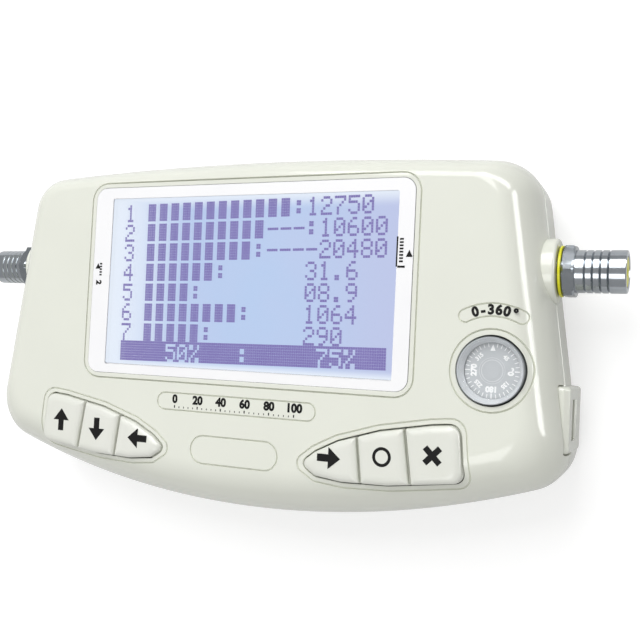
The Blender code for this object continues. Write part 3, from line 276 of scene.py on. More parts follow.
def case_outline(top_in, side_in, bottom_in):
    """The case's outline, drawn in from its seam line by the given amounts. Anticlockwise."""
    top_r = TOP_CORNER - TOP_CORNER_SHARE * side_in
    bottom_r = BOTTOM_CORNER - BOTTOM_CORNER_SHARE * side_in
    top_c = Vector((0, TOP_Y - top_in - TOP_ARC))
    bottom_c = Vector((0, BOTTOM_Y + bottom_in + BOTTOM_ARC))
    up = Vector((-SIDE_SLOPE, 1)).normalized()
    inward = Vector((-up.y, up.x))
    side = Vector((SIDE_X - side_in, WINDOW_Y))

    def corner(arc_centre, arc_radius, radius, sign):
        back = side + inward * radius - arc_centre
        along = back.dot(up)
        root = math.sqrt(along ** 2 - back.length_squared + (arc_radius - radius) ** 2)
        return side + inward * radius + up * (sign * root - along)

    upper = corner(top_c, TOP_ARC, top_r, 1)
    lower = corner(bottom_c, BOTTOM_ARC, bottom_r, -1)
    outward = math.atan2(-inward.y, -inward.x)
    top_turn = math.atan2(upper.y - top_c.y, upper.x)
    bottom_turn = math.atan2(lower.y - bottom_c.y, lower.x)
    right = arc(bottom_c, BOTTOM_ARC, -math.pi / 2, bottom_turn, 30)
    right += arc(lower, bottom_r, bottom_turn, outward, 16)[1:]
    right += arc(upper, top_r, outward, top_turn, 18)
    right += arc(top_c, TOP_ARC, top_turn, math.pi / 2, 16)[1:]
    return right + [(-x, y) for x, y in reversed(right[1:-1])]


def between(outer, inner, share, z):
    """A ring part of the way from one outline to another with as many points."""
    return [(a[0] + (b[0] - a[0]) * share, a[1] + (b[1] - a[1]) * share, z)
            for a, b in zip(outer, inner)]


def edge_rings(outer, inner, start_z, end_z, steps):
    """Rings over a rounded edge, from the outer outline to the inner one."""
    return [between(outer, inner, 1 - math.cos(t), start_z + (end_z - start_z) * math.sin(t))
            for t in quarter(steps)]


def even(inset):
    return case_outline(inset, inset, inset)


SEAM_LINE = even(0)
FACE_LINE = case_outline(TOP_ROUND, SIDE_ROUND, BOTTOM_ROUND)


def holds(outline, x, y):
    """Whether a point lies inside an outline."""
    inside = False
    for (ax, ay), (bx, by) in zip(outline, outline[1:] + outline[:1]):
        if (ay > y) != (by > y) and x < ax + (bx - ax) * (y - ay) / (by - ay):
            inside = not inside
    return inside


def skin_z(x, y):
    """The level of the front shell's surface at a place seen from the front."""
    if holds(FACE_LINE, x, y):
        return FACE_Z
    low, high = 0.0, 1.0
    for _ in range(14):
        share = (low + high) / 2
        inside = holds([p[:2] for p in between(SEAM_LINE, FACE_LINE, share, 0)], x, y)
        low, high = (share, high) if inside else (low, share)
    return SEAM_Z + (FACE_Z - SEAM_Z) * math.sin(math.acos(1 - low))


def beside(path, reach):
    """A closed path moved to its right, which is outwards for an anticlockwise one."""
    moved = []
    for i, p in enumerate(path):
        along = (Vector(path[(i + 1) % len(path)][:2]) - Vector(path[i - 1][:2])).normalized()
        moved.append((p[0] + along.y * reach, p[1] - along.x * reach))
    return moved


def in_short_steps(path, longest=0.8):
    """A closed path with points added along its straight parts."""
    made = []
    for a, b in zip(path, path[1:] + path[:1]):
        count = max(1, math.ceil(math.dist(a, b) / longest))
        made += [(a[0] + (b[0] - a[0]) * k / count, a[1] + (b[1] - a[1]) * k / count)
                 for k in range(count)]
    return made


def groove(path, width, depth):
    """A cutter for a shallow round-bottomed groove that follows a closed path over the shell."""
    heights = [skin_z(p[0], p[1]) for p in path]
    section = ((0.5, 1.5), (0.5, -0.2), (0.36, -0.7), (0.14, -1.0), (-0.14, -1.0), (-0.36, -0.7),
               (-0.5, -0.2), (-0.5, 1.5))
    rings = []
    for across, down in section:
        line = beside(path, across * width)
        rings.append([(x, y, h + down * depth) for (x, y), h in zip(line, heights)])
    return rings


def window_ring(margin, radius, z, steps=8):
    x, y = WINDOW_W / 2 + margin, WINDOW_H / 2 + margin
    return rounded(bar(-x, x, WINDOW_Y - y, WINDOW_Y + y), radius, z, steps)


def lozenge(left, right, low, high):
    """A flat shape with two full-round ends."""
    radius, middle = (high - low) / 2, (high + low) / 2
    return (arc((right - radius, middle), radius, -math.pi / 2, math.pi / 2, END_STEPS)
            + arc((left + radius, middle), radius, math.pi / 2, 3 * math.pi / 2, END_STEPS))


def bent_lozenge(inner, outer, half_turn):
    """A lozenge bent round the compass, over its top."""
    radius, middle = (outer - inner) / 2, (outer + inner) / 2
    start, stop = math.pi / 2 - half_turn, math.pi / 2 + half_turn
    left, right = [arc(polar(DIAL, middle, turn), radius, first, first + math.pi, END_STEPS)[1:-1]
                   for turn, first in ((stop, stop), (start, start + math.pi))]
    return (arc(DIAL, outer, start, stop, 2 * END_STEPS) + left
            + arc(DIAL, inner, stop, start, 2 * END_STEPS) + right)


def cluster():
    return [(TIP_X + (END_X - TIP_X) * a, KEYS_LOW + KEYS_HIGH * b) for a, b in KEY_SHARES]


def corner_round(place):
    """The rounding of a cluster's corner: larger at its outer end."""
    return END_ROUND if place[0] > END_X - 2 else KEY_ROUND


def well_ring(reach, z, steps=8):
    return rounded(grown(cluster(), reach), [corner_round(p) + reach for p in cluster()], z, steps)


def key_outline(index, reach=0.0):
    """One key of the right cluster, counted from its outer end."""
    outline = grown(cluster(), reach) if reach else cluster()
    for number, (top, foot) in enumerate(SPLITS):
        # The line between two caps, from the cluster's foot to its top
        low = Vector((TIP_X + (END_X - TIP_X) * foot, KEYS_LOW))
        high = Vector((TIP_X + (END_X - TIP_X) * top, KEYS_LOW + KEYS_HIGH))
        along = (high - low).normalized()
        outward = Vector((along.y, -along.x))
        if index <= number:
            outline = clipped(outline, low + outward * (SPLIT_GAP / 2), outward)
        if index > number:
            outline = clipped(outline, low - outward * (SPLIT_GAP / 2), -outward)
    return outline


def sides_of(places):
    return [(side * x, y) for x, y in places for side in (1, -1)]


def bosses(name, rise):
    """The upper (1) or lower (-1) halves of both round bosses, with soft outer edges."""
    profile = [(BOSS_R, BOSS_IN)]
    profile += [(BOSS_R - BOSS_EDGE * (1 - math.cos(t)), BOSS_X - BOSS_EDGE * (1 - math.sin(t)))
                for t in quarter(4)]
    bodies = [[], []]
    for radius, x in profile:
        start = math.asin(GAP / 2 / radius)
        half = arc((0, 0), radius, start, math.pi - start, 40)
        for rings, side in zip(bodies, (1, -1)):
            rings.append([(side * x, AXIS_Y + a, SEAM_Z + rise * b) for a, b in half])
    return solid(name, bodies)


def lug_block(grow):
    """The strap lug's solid on the right side, with soft edges, as rings along the meter."""
    rings = []
    for sign, turns in ((1, quarter(5)[::-1]), (-1, quarter(5))):
        for turn in turns:
            drawn = LUG_EDGE * (1 - math.cos(turn))
            y = LUG_Y + sign * (LUG_HALF + grow - LUG_EDGE * (1 - math.sin(turn)))
            out, top, low = LUG_OUT + grow - drawn, LUG_HIGH + grow - drawn, LUG_LOW
            shape = [(LUG_IN - grow, low), (out - 1.3, low), (out, low + 1), (out, top - 1),
                     (out - 1.3, top), (LUG_IN - grow, top)]
            rings.append([(x, y, z) for x, z, _ in rounded(shape, 0.8, 0, 4)])
    return rings


def axis_holes():
    return [along_x(turned(((SHANK_R + GAP, SHANK_IN - 1), (SHANK_R + GAP, TIP))), s) for s in (1, -1)]


def flared(ring_at, low, edge):
    """Rings of a hole with a softened mouth: ring_at(margin, z) draws it."""
    mouth = [ring_at(edge * (1 - math.cos(t)), FACE_Z - edge * (1 - math.sin(t))) for t in quarter(4)]
    return [ring_at(0, low)] + mouth + [ring_at(edge, FACE_Z + OVER)]


def front_shell():
    low = SEAM_Z + GAP / 2
    edge = edge_rings(SEAM_LINE, FACE_LINE, SEAM_Z, FACE_Z, 22)
    edge[0] = level(even(0), low + SEAM_EDGE)
    shell = solid("front_shell", [[level(even(SEAM_EDGE), low)] + edge])
    carve(shell, "UNION", bosses("bosses", 1))
    inner = edge_rings(even(WALL), FACE_LINE, SEAM_Z, FACE_Z - WALL, 8)
    cavity = solid("cavity", [[level(inner[0], SEAM_Z - OVER)] + inner])
    top = FACE_Z + OVER
    half_x, half_y = WINDOW_W / 2 + FRAME_RIM, WINDOW_H / 2 + FRAME_RIM
    frame_block = box((-half_x, WINDOW_Y - half_y, FACE_Z - FRAME_DEPTH),
                      (half_x, WINDOW_Y + half_y, top))
    well = grown(cluster(), KEY_GAP + WELL_WALL)
    tube = turned(((DIAL_R + GAP + TUBE_WALL, TUBE_Z), (DIAL_R + GAP + TUBE_WALL, top)), DIAL, 48)
    keeps = [frame_block, tube] + both([rounded(well, KEY_ROUND, z) for z in (KEY_SEAT_Z, top)])
    keeps += [turned(((POST_R, SEAM_Z - 2 * OVER), (POST_R, top)), p, 24)
              for p in sides_of(CASE_SCREWS)]
    carve(cavity, "DIFFERENCE", solid("keeps", keeps), bosses("boss_keeps", 1))
    window = [window_ring(-LEDGE, 1.0, z) for z in (FACE_Z - 6, SEAT_Z)]
    window += flared(lambda m, z: window_ring(0.08 + m, WINDOW_R + 0.08 + m, z), SEAT_Z, 0.15)
    keys = flared(lambda m, z: well_ring(KEY_GAP + m, z), KEY_SEAT_Z - 1.5, 0.3)
    dial = flared(lambda m, z: circle(DIAL_R + 0.1 + m, z, DIAL), TUBE_Z - OVER, 0.15)
    cuts = [window, dial] + both(keys) + both(lug_block(GAP)) + axis_holes()
    cuts += [turned(((SCREW_R + GAP, SEAM_Z - OVER), (SCREW_R + GAP, SCREW_TOP)), p, 24)
             for p in sides_of(CASE_SCREWS)]
    carve(shell, "DIFFERENCE", cavity, solid("openings", cuts))
    lines = [groove([p[:2] for p in window_ring(1.3, 4.6, 0, 12)], 0.4, 0.65),
             groove([p[:2] for p in circle(RING_R, 0, DIAL)], 0.4, 0.6),
             groove(lozenge(*SCALE_PLATE), 0.38, 0.5),
             groove(lozenge(*BARE_PLATE), 0.38, 0.5),
             groove(bent_lozenge(*BENT_PLATE), 0.38, 0.5)]
    ring = [p[:2] for p in well_ring(1.45, 0, 10)]
    lines += both(groove(in_short_steps(ring), 0.4, 0.5))
    carve(shell, "DIFFERENCE", solid("grooves", lines, closed=True, flat_faces=True))
    return shell


def rear_shell():
    straight = REAR_Z + REAR_ROUND
    top = SEAM_Z - GAP / 2
    rear = edge_rings(even(REAR_DRAFT), even(REAR_DRAFT + REAR_ROUND), straight, REAR_Z, 12)[::-1]
    rear += [level(even(0), top - SEAM_EDGE), level(even(SEAM_EDGE), top)]
    shell = solid("rear_shell", [rear])
    lip = solid("lip", [[level(even(WALL + 0.7), z) for z in (top - 3, LIP_TOP)]])
    gaps = box((BOSS_IN - OVER, AXIS_Y - BOSS_R - GAP, SEAM_Z - 6),
               (TIP, AXIS_Y + BOSS_R + GAP, SEAM_Z + 5))
    carve(lip, "DIFFERENCE", solid("lip_gaps", both(gaps)))
    carve(shell, "UNION", lip, bosses("bosses", -1), solid("lugs", both(lug_block(0))))
    inner_round, inner_z = REAR_ROUND - WALL, REAR_Z + WALL
    rings = edge_rings(even(WALL), even(WALL + inner_round), inner_z + inner_round, inner_z, 6)
    rings = rings[::-1] + [level(even(WALL), SEAM_Z - 4)]
    rings += [level(even(WALL + 1.7), z) for z in (SEAM_Z - 3, SEAM_Z + 5)]
    cavity = solid("cavity", [rings])
    low = REAR_Z - OVER
    keeps = [turned(((POST_R, low), (POST_R, SEAM_Z - GAP / 2)), p, 24) for p in sides_of(CASE_SCREWS)]
    keeps += both(box((LUG_WALL_X, LUG_Y - LUG_HALF, low), (LUG_OUT, LUG_Y + LUG_HALF, LIP_TOP)))
    carve(cavity, "DIFFERENCE", solid("keeps", keeps), bosses("boss_keeps", -1))
    carve(shell, "DIFFERENCE", cavity)
    head, shank = HEAD_R + GAP, SCREW_R + GAP
    cuts = [turned(((head + 0.4, low), (head + 0.4, REAR_Z), (head, REAR_Z + 0.4), (head, SCREW_SEAT),
                    (shank, SCREW_SEAT), (shank, SEAM_Z + OVER)), p, 32) for p in sides_of(CASE_SCREWS)]
    seat = FOOT_R + GAP
    cuts += [turned(((seat + 0.3, low), (seat + 0.3, REAR_Z), (seat, REAR_Z + 0.3),
                     (seat, FOOT_TOP + GAP)), p, 64) for p in sides_of(FEET)]
    # The strap's way: in through the lug's side and out at the rear
    (inner, outer), (under, over), soft = STRAP_X, STRAP_Z, STRAP_EDGE
    slot = [(inner, low), (outer, low), (outer, under), (LUG_OUT - soft, under),
            (LUG_OUT, under - soft), (LUG_OUT + OVER, under - soft), (LUG_OUT + OVER, over + soft),
            (LUG_OUT, over + soft), (LUG_OUT - soft, over), (inner, over)]
    cuts += both([[(x, y, z) for x, z in slot] for y in (LUG_Y + STRAP_HALF, LUG_Y - STRAP_HALF)])
    carve(shell, "DIFFERENCE", solid("openings", cuts + axis_holes()))
    return shell


# Keys and their signs


def key_cap(index, side):
    """A cap with a flange below and a broad soft edge on top. Its corners are tight between caps."""
    flange = key_outline(index, KEY_GAP + FLANGE_REACH)
    body = key_outline(index)
    corners = [corner_round(p) if min(math.dist(p, q) for q in cluster()) < 0.01 else SPLIT_ROUND
               for p in body]
    rings = [rounded(flange, KEY_ROUND, z) for z in (KEY_BASE_Z, KEY_BASE_Z + KEY_FLANGE)]
    rings += [rounded(grown(body, KEY_STEP), corners, z) for z in (KEY_BASE_Z + KEY_FLANGE, KEY_STEP_Z)]
    rings.append(rounded(body, corners, KEY_STEP_Z + 0.1))
    for turn in quarter(10):
        inset = KEY_SOFT * (1 - math.cos(turn))
        rings.append(rounded(grown(body, -inset), corners, KEY_TOP_Z - KEY_DROP * (1 - math.sin(turn))))
    return rings if side > 0 else mirrored(rings)


def middle(outline):
    xs, ys = [p[0] for p in outline], [p[1] for p in outline]
    return (min(xs) + max(xs)) / 2, (min(ys) + max(ys)) / 2


def prism(outline, z):
    return [level(outline, z), level(outline, z + PRINT)]


def arrow(centre, turn, size):
    """A bold arrow with its shaft, as an anticlockwise outline."""
    shape = ((-0.55, -0.17), (0, -0.17), (0, -0.5), (0.6, 0), (0, 0.5), (0, 0.17), (-0.55, 0.17))
    c, s = math.cos(turn), math.sin(turn)
    return [(centre[0] + size * (x * c - y * s), centre[1] + size * (x * s + y * c)) for x, y in shape]


def cross_sign(centre, size):
    arm, half = 0.5, 0.14
    shape = ((-half, -arm), (half, -arm), (half, -half), (arm, -half), (arm, half), (half, half),
             (half, arm), (-half, arm), (-half, half), (-arm, half), (-arm, -half), (-half, -half))
    c = math.sqrt(0.5)
    return [(centre[0] + size * (x - y) * c, centre[1] + size * (x + y) * c) for x, y in shape]


def figures(words, size, centre, z, turn=0.0, bold=0.0):
    """Plain figures as a thin solid, centred at a place."""
    curve = bpy.data.curves.new("figures", "FONT")
    curve.body, curve.size, curve.align_x, curve.align_y = words, size * MM, "CENTER", "CENTER"
    curve.extrude, curve.offset = PRINT / 2 * MM, bold * MM
    curve.resolution_u = 4
    made = placed("figures", curve)
    data = final_mesh(made)
    place = Matrix.Translation(Vector((centre[0], centre[1], z + PRINT / 2)) * MM)
    data.transform(place @ Matrix.Rotation(turn, 4, "Z"))
    bpy.data.objects.remove(made, do_unlink=True)
    bpy.data.curves.remove(curve)
    return data


def printed(name, bodies, texts=(), closed=()):
    """One printed piece, made of thin prisms, rings and figures."""
    mesh = bmesh.new()
    for rings in bodies:
        fill(mesh, rings)
    for rings in closed:
        fill(mesh, rings, True)
    for data in texts:
        mesh.from_mesh(data)
        bpy.data.meshes.remove(data)
    bmesh.ops.remove_doubles(mesh, verts=mesh.verts, dist=1e-7)
    return finished(name, mesh)


def band(centre, inner, outer, z, steps=STEPS):
    return turned(((inner, z), (outer, z), (outer, z + PRINT), (inner, z + PRINT)), centre, steps)


def printed_frame(margin, left, right, low, high, z):
    """A white border printed on one side of the window, round an opening."""
    top = z + BORDER_THICK
    inner = [rounded(bar(left, right, low, high), 0.5, h) for h in (z, top)]
    outer = [window_ring(margin, WINDOW_R + margin, h) for h in (z, top)]
    return [inner[0], outer[0], outer[1], inner[1]]


def keys(key_finish, ink):
    """The six caps, with an arrow, a ring or a cross printed on each."""
    z, ways = KEY_TOP_Z - 0.01, {"up": 90, "down": -90, "left": 180, "right": 0}
    for side, names in KEY_NAMES.items():
        for index, name in enumerate(names):
            cap = solid(f"cap_{name}", [key_cap(index, side)])
            fit(cap, f"{name}_key", "key_plastic", key_finish, f"key_{name}", degrees=50)
            x, y = middle(key_outline(index))
            x *= side
            if name in ways:
                sign = printed(f"sign_{name}", [prism(arrow((x, y), math.radians(ways[name]), 5.0), z)])
            elif name == "ok":
                sign = printed("sign_ok", [], closed=[band((x, y), 1.5, 2.2, z, steps=48)])
            else:
                sign = printed("sign_exit", [prism(cross_sign((x, y), 4.8), z)])
            fit(sign, f"{name}_key", "key_plastic", ink)


# Display


DIGITS = {
    "0": "01110 10001 10011 10101 11001 10001 01110", "1": "00100 01100 00100 00100 00100 00100 01110",
    "2": "01110 10001 00001 00110 01000 10000 11111", "3": "01110 10001 00001 00110 00001 10001 01110",
    "4": "00010 00110 01010 10010 11111 00010 00010", "5": "11111 10000 11110 00001 00001 10001 01110",
    "6": "00110 01000 10000 11110 10001 10001 01110", "7": "11111 00001 00010 00100 01000 01000 01000",
    "8": "01110 10001 10001 01110 10001 10001 01110", "9": "01110 10001 10001 01111 00001 00010 01100",
    ":": "00000 01100 01100 00000 01100 01100 00000", "%": "11001 11001 00010 00100 01000 10011 10011",
    ".": "00000 00000 00000 00000 00000 01100 01100", "-": "00000 00000 00000 11111 00000 00000 00000",
    "#": "11110 " * 7, " ": "00000 " * 7,
}
SCREEN = ("1 ############:12750", "2 ##########---:10600", "3 #########:----20480",
          "4 ######:      31.6", "5 ####:        08.9", "6 ########:    1064",
          "7 #####:       290", "    50%   :     75% ")
LINE_SIGNS, SIGN_COLUMNS = 21, 6
DOT_W, DOT_H, DOT_MARGIN, DOT_THICK = 0.584, 0.643, 0.018, 0.03
FIRST_X, FIRST_TOP, LINE, LEAN = -36.0, 20.4, 5.144, math.radians(0.9)


def display_dots():
    """The dark dots. A sign has six columns and seven rows, and the last line is inverse."""
    mesh = bmesh.new()
    c, s = math.cos(LEAN), math.sin(LEAN)

    def dot(column, row, top):
        left = FIRST_X + DOT_W * column
        high = top - DOT_H * row
        body = box((left + DOT_MARGIN, high - DOT_H + DOT_MARGIN, GLASS_TOP),
                   (left + DOT_W - DOT_MARGIN, high - DOT_MARGIN, GLASS_TOP + DOT_THICK))
        fill(mesh, [[(x * c - y * s, WINDOW_Y + x * s + y * c, z) for x, y, z in ring]
                    for ring in body])

    for line, words in enumerate(SCREEN):
        top = FIRST_TOP - LINE * line
        inverse = line == len(SCREEN) - 1
        for place, sign in enumerate(words.ljust(LINE_SIGNS)):
            for row, bits in enumerate(DIGITS[sign].split()):
                for column, bit in enumerate(bits + "0"):
                    if (bit == "1") != inverse:
                        dot(place * SIGN_COLUMNS + column, row, top)
        if inverse:
            for column in range(LINE_SIGNS * SIGN_COLUMNS):
                dot(column, -1, top)
    return finished("display_dots", mesh)


# Finishes


def linear(hex_colour):
    """A colour written as sRGB hex, as linear RGBA."""
    parts = [int(hex_colour[i:i + 2], 16) / 255 for i in (0, 2, 4)]
    return [c / 12.92 if c <= 0.04045 else ((c + 0.055) / 1.055) ** 2.4 for c in parts] + [1.0]


def add(tree, kind, inputs=None, **settings):
    """One node with its settings, and its inputs set to values or linked to other outputs."""
    node = tree.nodes.new(kind)
    for name, value in settings.items():
        setattr(node, name, value)
    for key, value in (inputs or {}).items():
        if isinstance(value, bpy.types.NodeSocket):
            tree.links.new(value, node.inputs[key])
        else:
            node.inputs[key].default_value = value
    return node


def blank(name, **sockets):
    """A material with uniform values on its shader's sockets, its tree and its shader."""
    made = bpy.data.materials.new(name)
    made.use_nodes = True
    shader = made.node_tree.nodes["Principled BSDF"]
    for key, value in sockets.items():
        shader.inputs[key.replace("_", " ")].default_value = value
    return made, made.node_tree, shader


def finish(name, shade, worn, rough, patch_mm, grain_mm, relief_mm, stretch=(1, 1, 1), **sockets):
    """Two close shades in broad patches, with a fine grain in the gloss and in the height."""
    made, tree, shader = blank(name, **sockets)
    where = add(tree, "ShaderNodeTexCoord").outputs["Object"]
    where = add(tree, "ShaderNodeMapping", {"Vector": where, "Scale": stretch}).outputs[0]
    patch = add(tree, "ShaderNodeTexNoise",
                {"Vector": where, "Scale": 1 / (patch_mm * MM), "Detail": 3})
    grain = add(tree, "ShaderNodeTexNoise",
                {"Vector": where, "Scale": 1 / (grain_mm * MM), "Detail": 2})
    share = add(tree, "ShaderNodeMapRange",
                {"Value": patch.outputs[0], "From Min": 0.35, "From Max": 0.75})
    tint = add(tree, "ShaderNodeMix", {0: share.outputs[0], 6: linear(shade), 7: linear(worn)},
               data_type="RGBA")
    gloss = add(tree, "ShaderNodeMapRange", {"Value": grain.outputs[0],
                                             "To Min": rough[0], "To Max": rough[1]})
    bump = add(tree, "ShaderNodeBump", {"Height": grain.outputs[0], "Distance": relief_mm * MM})
    tree.links.new(tint.outputs[2], shader.inputs["Base Color"])
    tree.links.new(gloss.outputs[0], shader.inputs["Roughness"])
    tree.links.new(bump.outputs[0], shader.inputs["Normal"])
    return made


def clear(name, most):
    """Clear acrylic: see-through straight on, with a gloss that grows towards grazing view."""
    made, tree, shader = blank(name, Base_Color=(1, 1, 1, 1), IOR=1.49, Transmission_Weight=1.0)
    where = add(tree, "ShaderNodeTexCoord").outputs["Object"]
    scratches = add(tree, "ShaderNodeTexNoise", {"Vector": where, "Scale": 1 / (2.5 * MM), "Detail": 4})
    haze = add(tree, "ShaderNodeMapRange",
               {"Value": scratches.outputs[0], "To Min": 0.03, "To Max": 0.09})
    tree.links.new(haze.outputs[0], shader.inputs["Roughness"])
    through = add(tree, "ShaderNodeBsdfTransparent")
    # Facing is alike on both sides, so the far side of a sheet is no mirror from within
    edge = add(tree, "ShaderNodeLayerWeight", {"Blend": 0.1})
    share = add(tree, "ShaderNodeMapRange", {"Value": edge.outputs["Facing"],
                                             "To Min": 0.03, "To Max": most})
    mix = add(tree, "ShaderNodeMixShader", {0: share.outputs[0], 1: through.outputs[0],
                                            2: shader.outputs[0]})
    tree.links.new(mix.outputs[0], tree.nodes["Material Output"].inputs["Surface"])
    return made


def glowing(name, rough, strength, patch_mm, shade, other):
    """A dark surface that gives off light of its own, in two close shades."""
    made, tree, shader = blank(name, Base_Color=linear("2A2C34"), Roughness=rough,
                               Specular_IOR_Level=0.08, Emission_Strength=strength)
    where = add(tree, "ShaderNodeTexCoord").outputs["Object"]
    uneven = add(tree, "ShaderNodeTexNoise",
                 {"Vector": where, "Scale": 1 / (patch_mm * MM), "Detail": 2})
    colour = add(tree, "ShaderNodeMix", {0: uneven.outputs[0], 6: linear(shade), 7: linear(other)},
                 data_type="RGBA")
    tree.links.new(colour.outputs[2], shader.inputs["Emission Color"])
    return made, tree, shader, colour


def lit_display():
    """The display's lit glass: blue-violet, paler at its left and along its edges, by its lamps."""
    made, tree, shader, base = glowing("lit_display_glass", 0.35, 1.03, 18, "B0C9E9", "BBC7E6")
    where = add(tree, "ShaderNodeTexCoord").outputs["Object"]
    place = add(tree, "ShaderNodeSeparateXYZ", {0: where})
    # How far a place lies towards the foot, the head, the left and the right
    foot, head, left, right = [
        add(tree, "ShaderNodeMapRange", {"Value": place.outputs[axis], "From Min": start * MM,
                                         "From Max": end * MM}, interpolation_type="SMOOTHSTEP")
        for axis, start, end in (("Y", -7.2, -9.5), ("Y", 30, 34.2), ("X", -14, -41), ("X", 8, 41))]
    ends = add(tree, "ShaderNodeMath", {0: foot.outputs[0], 1: head.outputs[0]}, operation="MAXIMUM")
    pale = add(tree, "ShaderNodeMath", {0: left.outputs[0], 1: ends.outputs[0]}, operation="MAXIMUM")
    violet = add(tree, "ShaderNodeMix", {0: right.outputs[0], 6: base.outputs[2],
                                         7: linear("B9C2E2")}, data_type="RGBA")
    colour = add(tree, "ShaderNodeMix", {0: pale.outputs[0], 6: violet.outputs[2],
                                         7: linear("E2EAF5")}, data_type="RGBA")
    tree.links.new(colour.outputs[2], shader.inputs["Emission Color"])
    return made


# Moulded ABS: off-white with a satin gloss and hardly any wear. Its fine moulded skin is drawn
# 1.2 mm wide, as coarse as it needs to show
case_abs = finish("moulded_abs_off_white", "EBEDE2", "E8EADF", (0.1, 0.15), 24, 1.2, 0.0006, IOR=1.53)
# The same plastic at the rear, painted a little greyer: painted shade for the rear, which lies in shade
rear_abs_painted_shade = finish("moulded_abs_rear_painted_shade", "E8EADF", "E5E7DC", (0.15, 0.19), 24, 1.2, 0.0006, IOR=1.53)
# Moulded key caps: the same off-white, glossier where fingers polish them
key_abs = finish("moulded_key_caps", "EAEBE3", "E6E8DE", (0.18, 0.26), 14, 1.1, 0.0008, IOR=1.53)
# Screen-printed inks: even films, matt in black and satin in white
black_ink = finish("printed_black_ink", "0B0A0A", "121110", (0.55, 0.65), 3, 0.3, 0.002,
                   Specular_IOR_Level=0.25)
white_ink = finish("printed_white_border", "FDFDFE", "FAFAFC", (0.25, 0.35), 12, 0.5, 0.002, IOR=1.5)
dial_ink = finish("printed_dial_marks", "FAFBFB", "EFF1F2", (0.4, 0.5), 3, 0.3, 0.002, IOR=1.5)
# Satin grey plastic of the compass: its card; its cup, painted darker as painted shade for its outer
# wall in the gap; and the cone inside the rim, painted paler as painted light against the shade under
# the lens
dial_grey = finish("satin_dial_grey", "C1C5C8", "BDC1C4", (0.35, 0.45), 5, 0.8, 0.001, IOR=1.5)
cup_grey_painted_shade = finish("satin_cup_grey", "9DA2A6", "989DA1", (0.3, 0.4), 5, 0.8, 0.001, IOR=1.5)
trim_grey_painted_light = finish("satin_trim_grey", "D9DDE0", "D5D9DC", (0.3, 0.4), 5, 0.8, 0.001, IOR=1.5)
# Faint rings printed on the card, hardly paler than it
ring_grey = finish("faint_ring_grey", "D8DBDD", "D4D7D9", (0.35, 0.45), 5, 0.8, 0.001, IOR=1.5)
# Nickel plate on brass: the barrel is turned, with fine tool marks round its axis, and the
# milled hexagon is painted a little darker: painted shade for the dimmer reflections of its facets
nickel = finish("nickel_plate_turned", "B2B7BC", "A8ADB2", (0.12, 0.2), 4, 0.4, 0.0006,
                stretch=(1, 0.15, 0.15), Metallic=1.0)
hex_nickel_painted_shade = finish("nickel_plate_milled_painted_shade", "9CA1A6", "91979C", (0.2, 0.24), 3, 1.5, 0.0003,
                    Metallic=1.0)
# Moulded polyethylene: bright yellow with a soft gloss
yellow = finish("moulded_yellow", "F0EE20", "E4E012", (0.3, 0.42), 4, 0.4, 0.006, IOR=1.51)
# Tinned steel sheet: bright with a soft haze
tinned = finish("tinned_steel_sheet", "B8B9B8", "A4A6A6", (0.28, 0.42), 6, 0.5, 0.006, Metallic=1.0)
# Moulded milky acrylic: pale and even, to spread the light
milky = finish("milky_diffuser", "E9EBF4", "DDE0EE", (0.4, 0.5), 9, 0.6, 0.004, IOR=1.49)
# Green solder mask: the glass cloth below shows as a faint unevenness 0.6 mm wide
board_green = finish("green_solder_mask", "2A5A3A", "24503A", (0.3, 0.45), 5, 0.6, 0.012, IOR=1.55)
# Moulded glass-filled nylon: black and dull with a fine grit
black_moulding = finish("black_moulding", "27282A", "323335", (0.45, 0.6), 4, 0.3, 0.01, IOR=1.52)
# Laminated polyester film: the flat cable's pale, smooth skin
film = finish("flat_cable_film", "DADAD3", "CFCFC7", (0.3, 0.4), 5, 0.6, 0.003, IOR=1.57)
# Shrunk polyester sleeve of the capacitors: dark blue and smooth
sleeve = finish("shrink_sleeve", "2B3A55", "22304A", (0.3, 0.42), 4, 0.5, 0.004, IOR=1.54)
# Barrel-plated zinc on steel: grey, with a fine random haze
zinc = finish("zinc_plated_steel", "A9AAA8", "94968F", (0.3, 0.45), 2, 0.2, 0.006, Metallic=1.0)
# Turned brass: yellow and bright, on the compass pivot and in the connectors
brass = finish("turned_brass", "C4A461", "AC8D4C", (0.25, 0.38), 2, 0.2, 0.004, Metallic=1.0)
# Moulded rubber: soft grey, dull and slightly dusty
rubber = finish("soft_grey_rubber", "8E908D", "A3A5A1", (0.7, 0.85), 3, 0.35, 0.03, IOR=1.52)
# Polished acrylic, with a faint haze of fine scratches
window_clear = clear("clear_acrylic_window", 0.5)
lens_clear = clear("clear_acrylic_lens", 0.35)
# Dark dots of the display, which still let some of its violet light out
dots_ink = glowing("display_dots_ink", 0.5, 0.92, 6, "7C70B2", "887EBC")[0]


# The dressed pieces

fit(front_shell(), "meter", "case_plastic", case_abs, "front_case")
fit(rear_shell(), "meter", "case_plastic", rear_abs_painted_shade, "rear_case")
keys(key_abs, black_ink)

# The second print, under the window, covers the display's metal frame
under = printed_frame(-2.0, VIEW_X[0] - 0.75, VIEW_X[1] + 0.1, VIEW_Y[0] + 0.2, VIEW_Y[1] + 0.2,
                      SEAT_Z + 0.25)
fit(solid("window_border", [printed_frame(-0.02, *VIEW_X, *VIEW_Y, FACE_Z), under], closed=True),
    "meter", "clear_panel", white_ink)

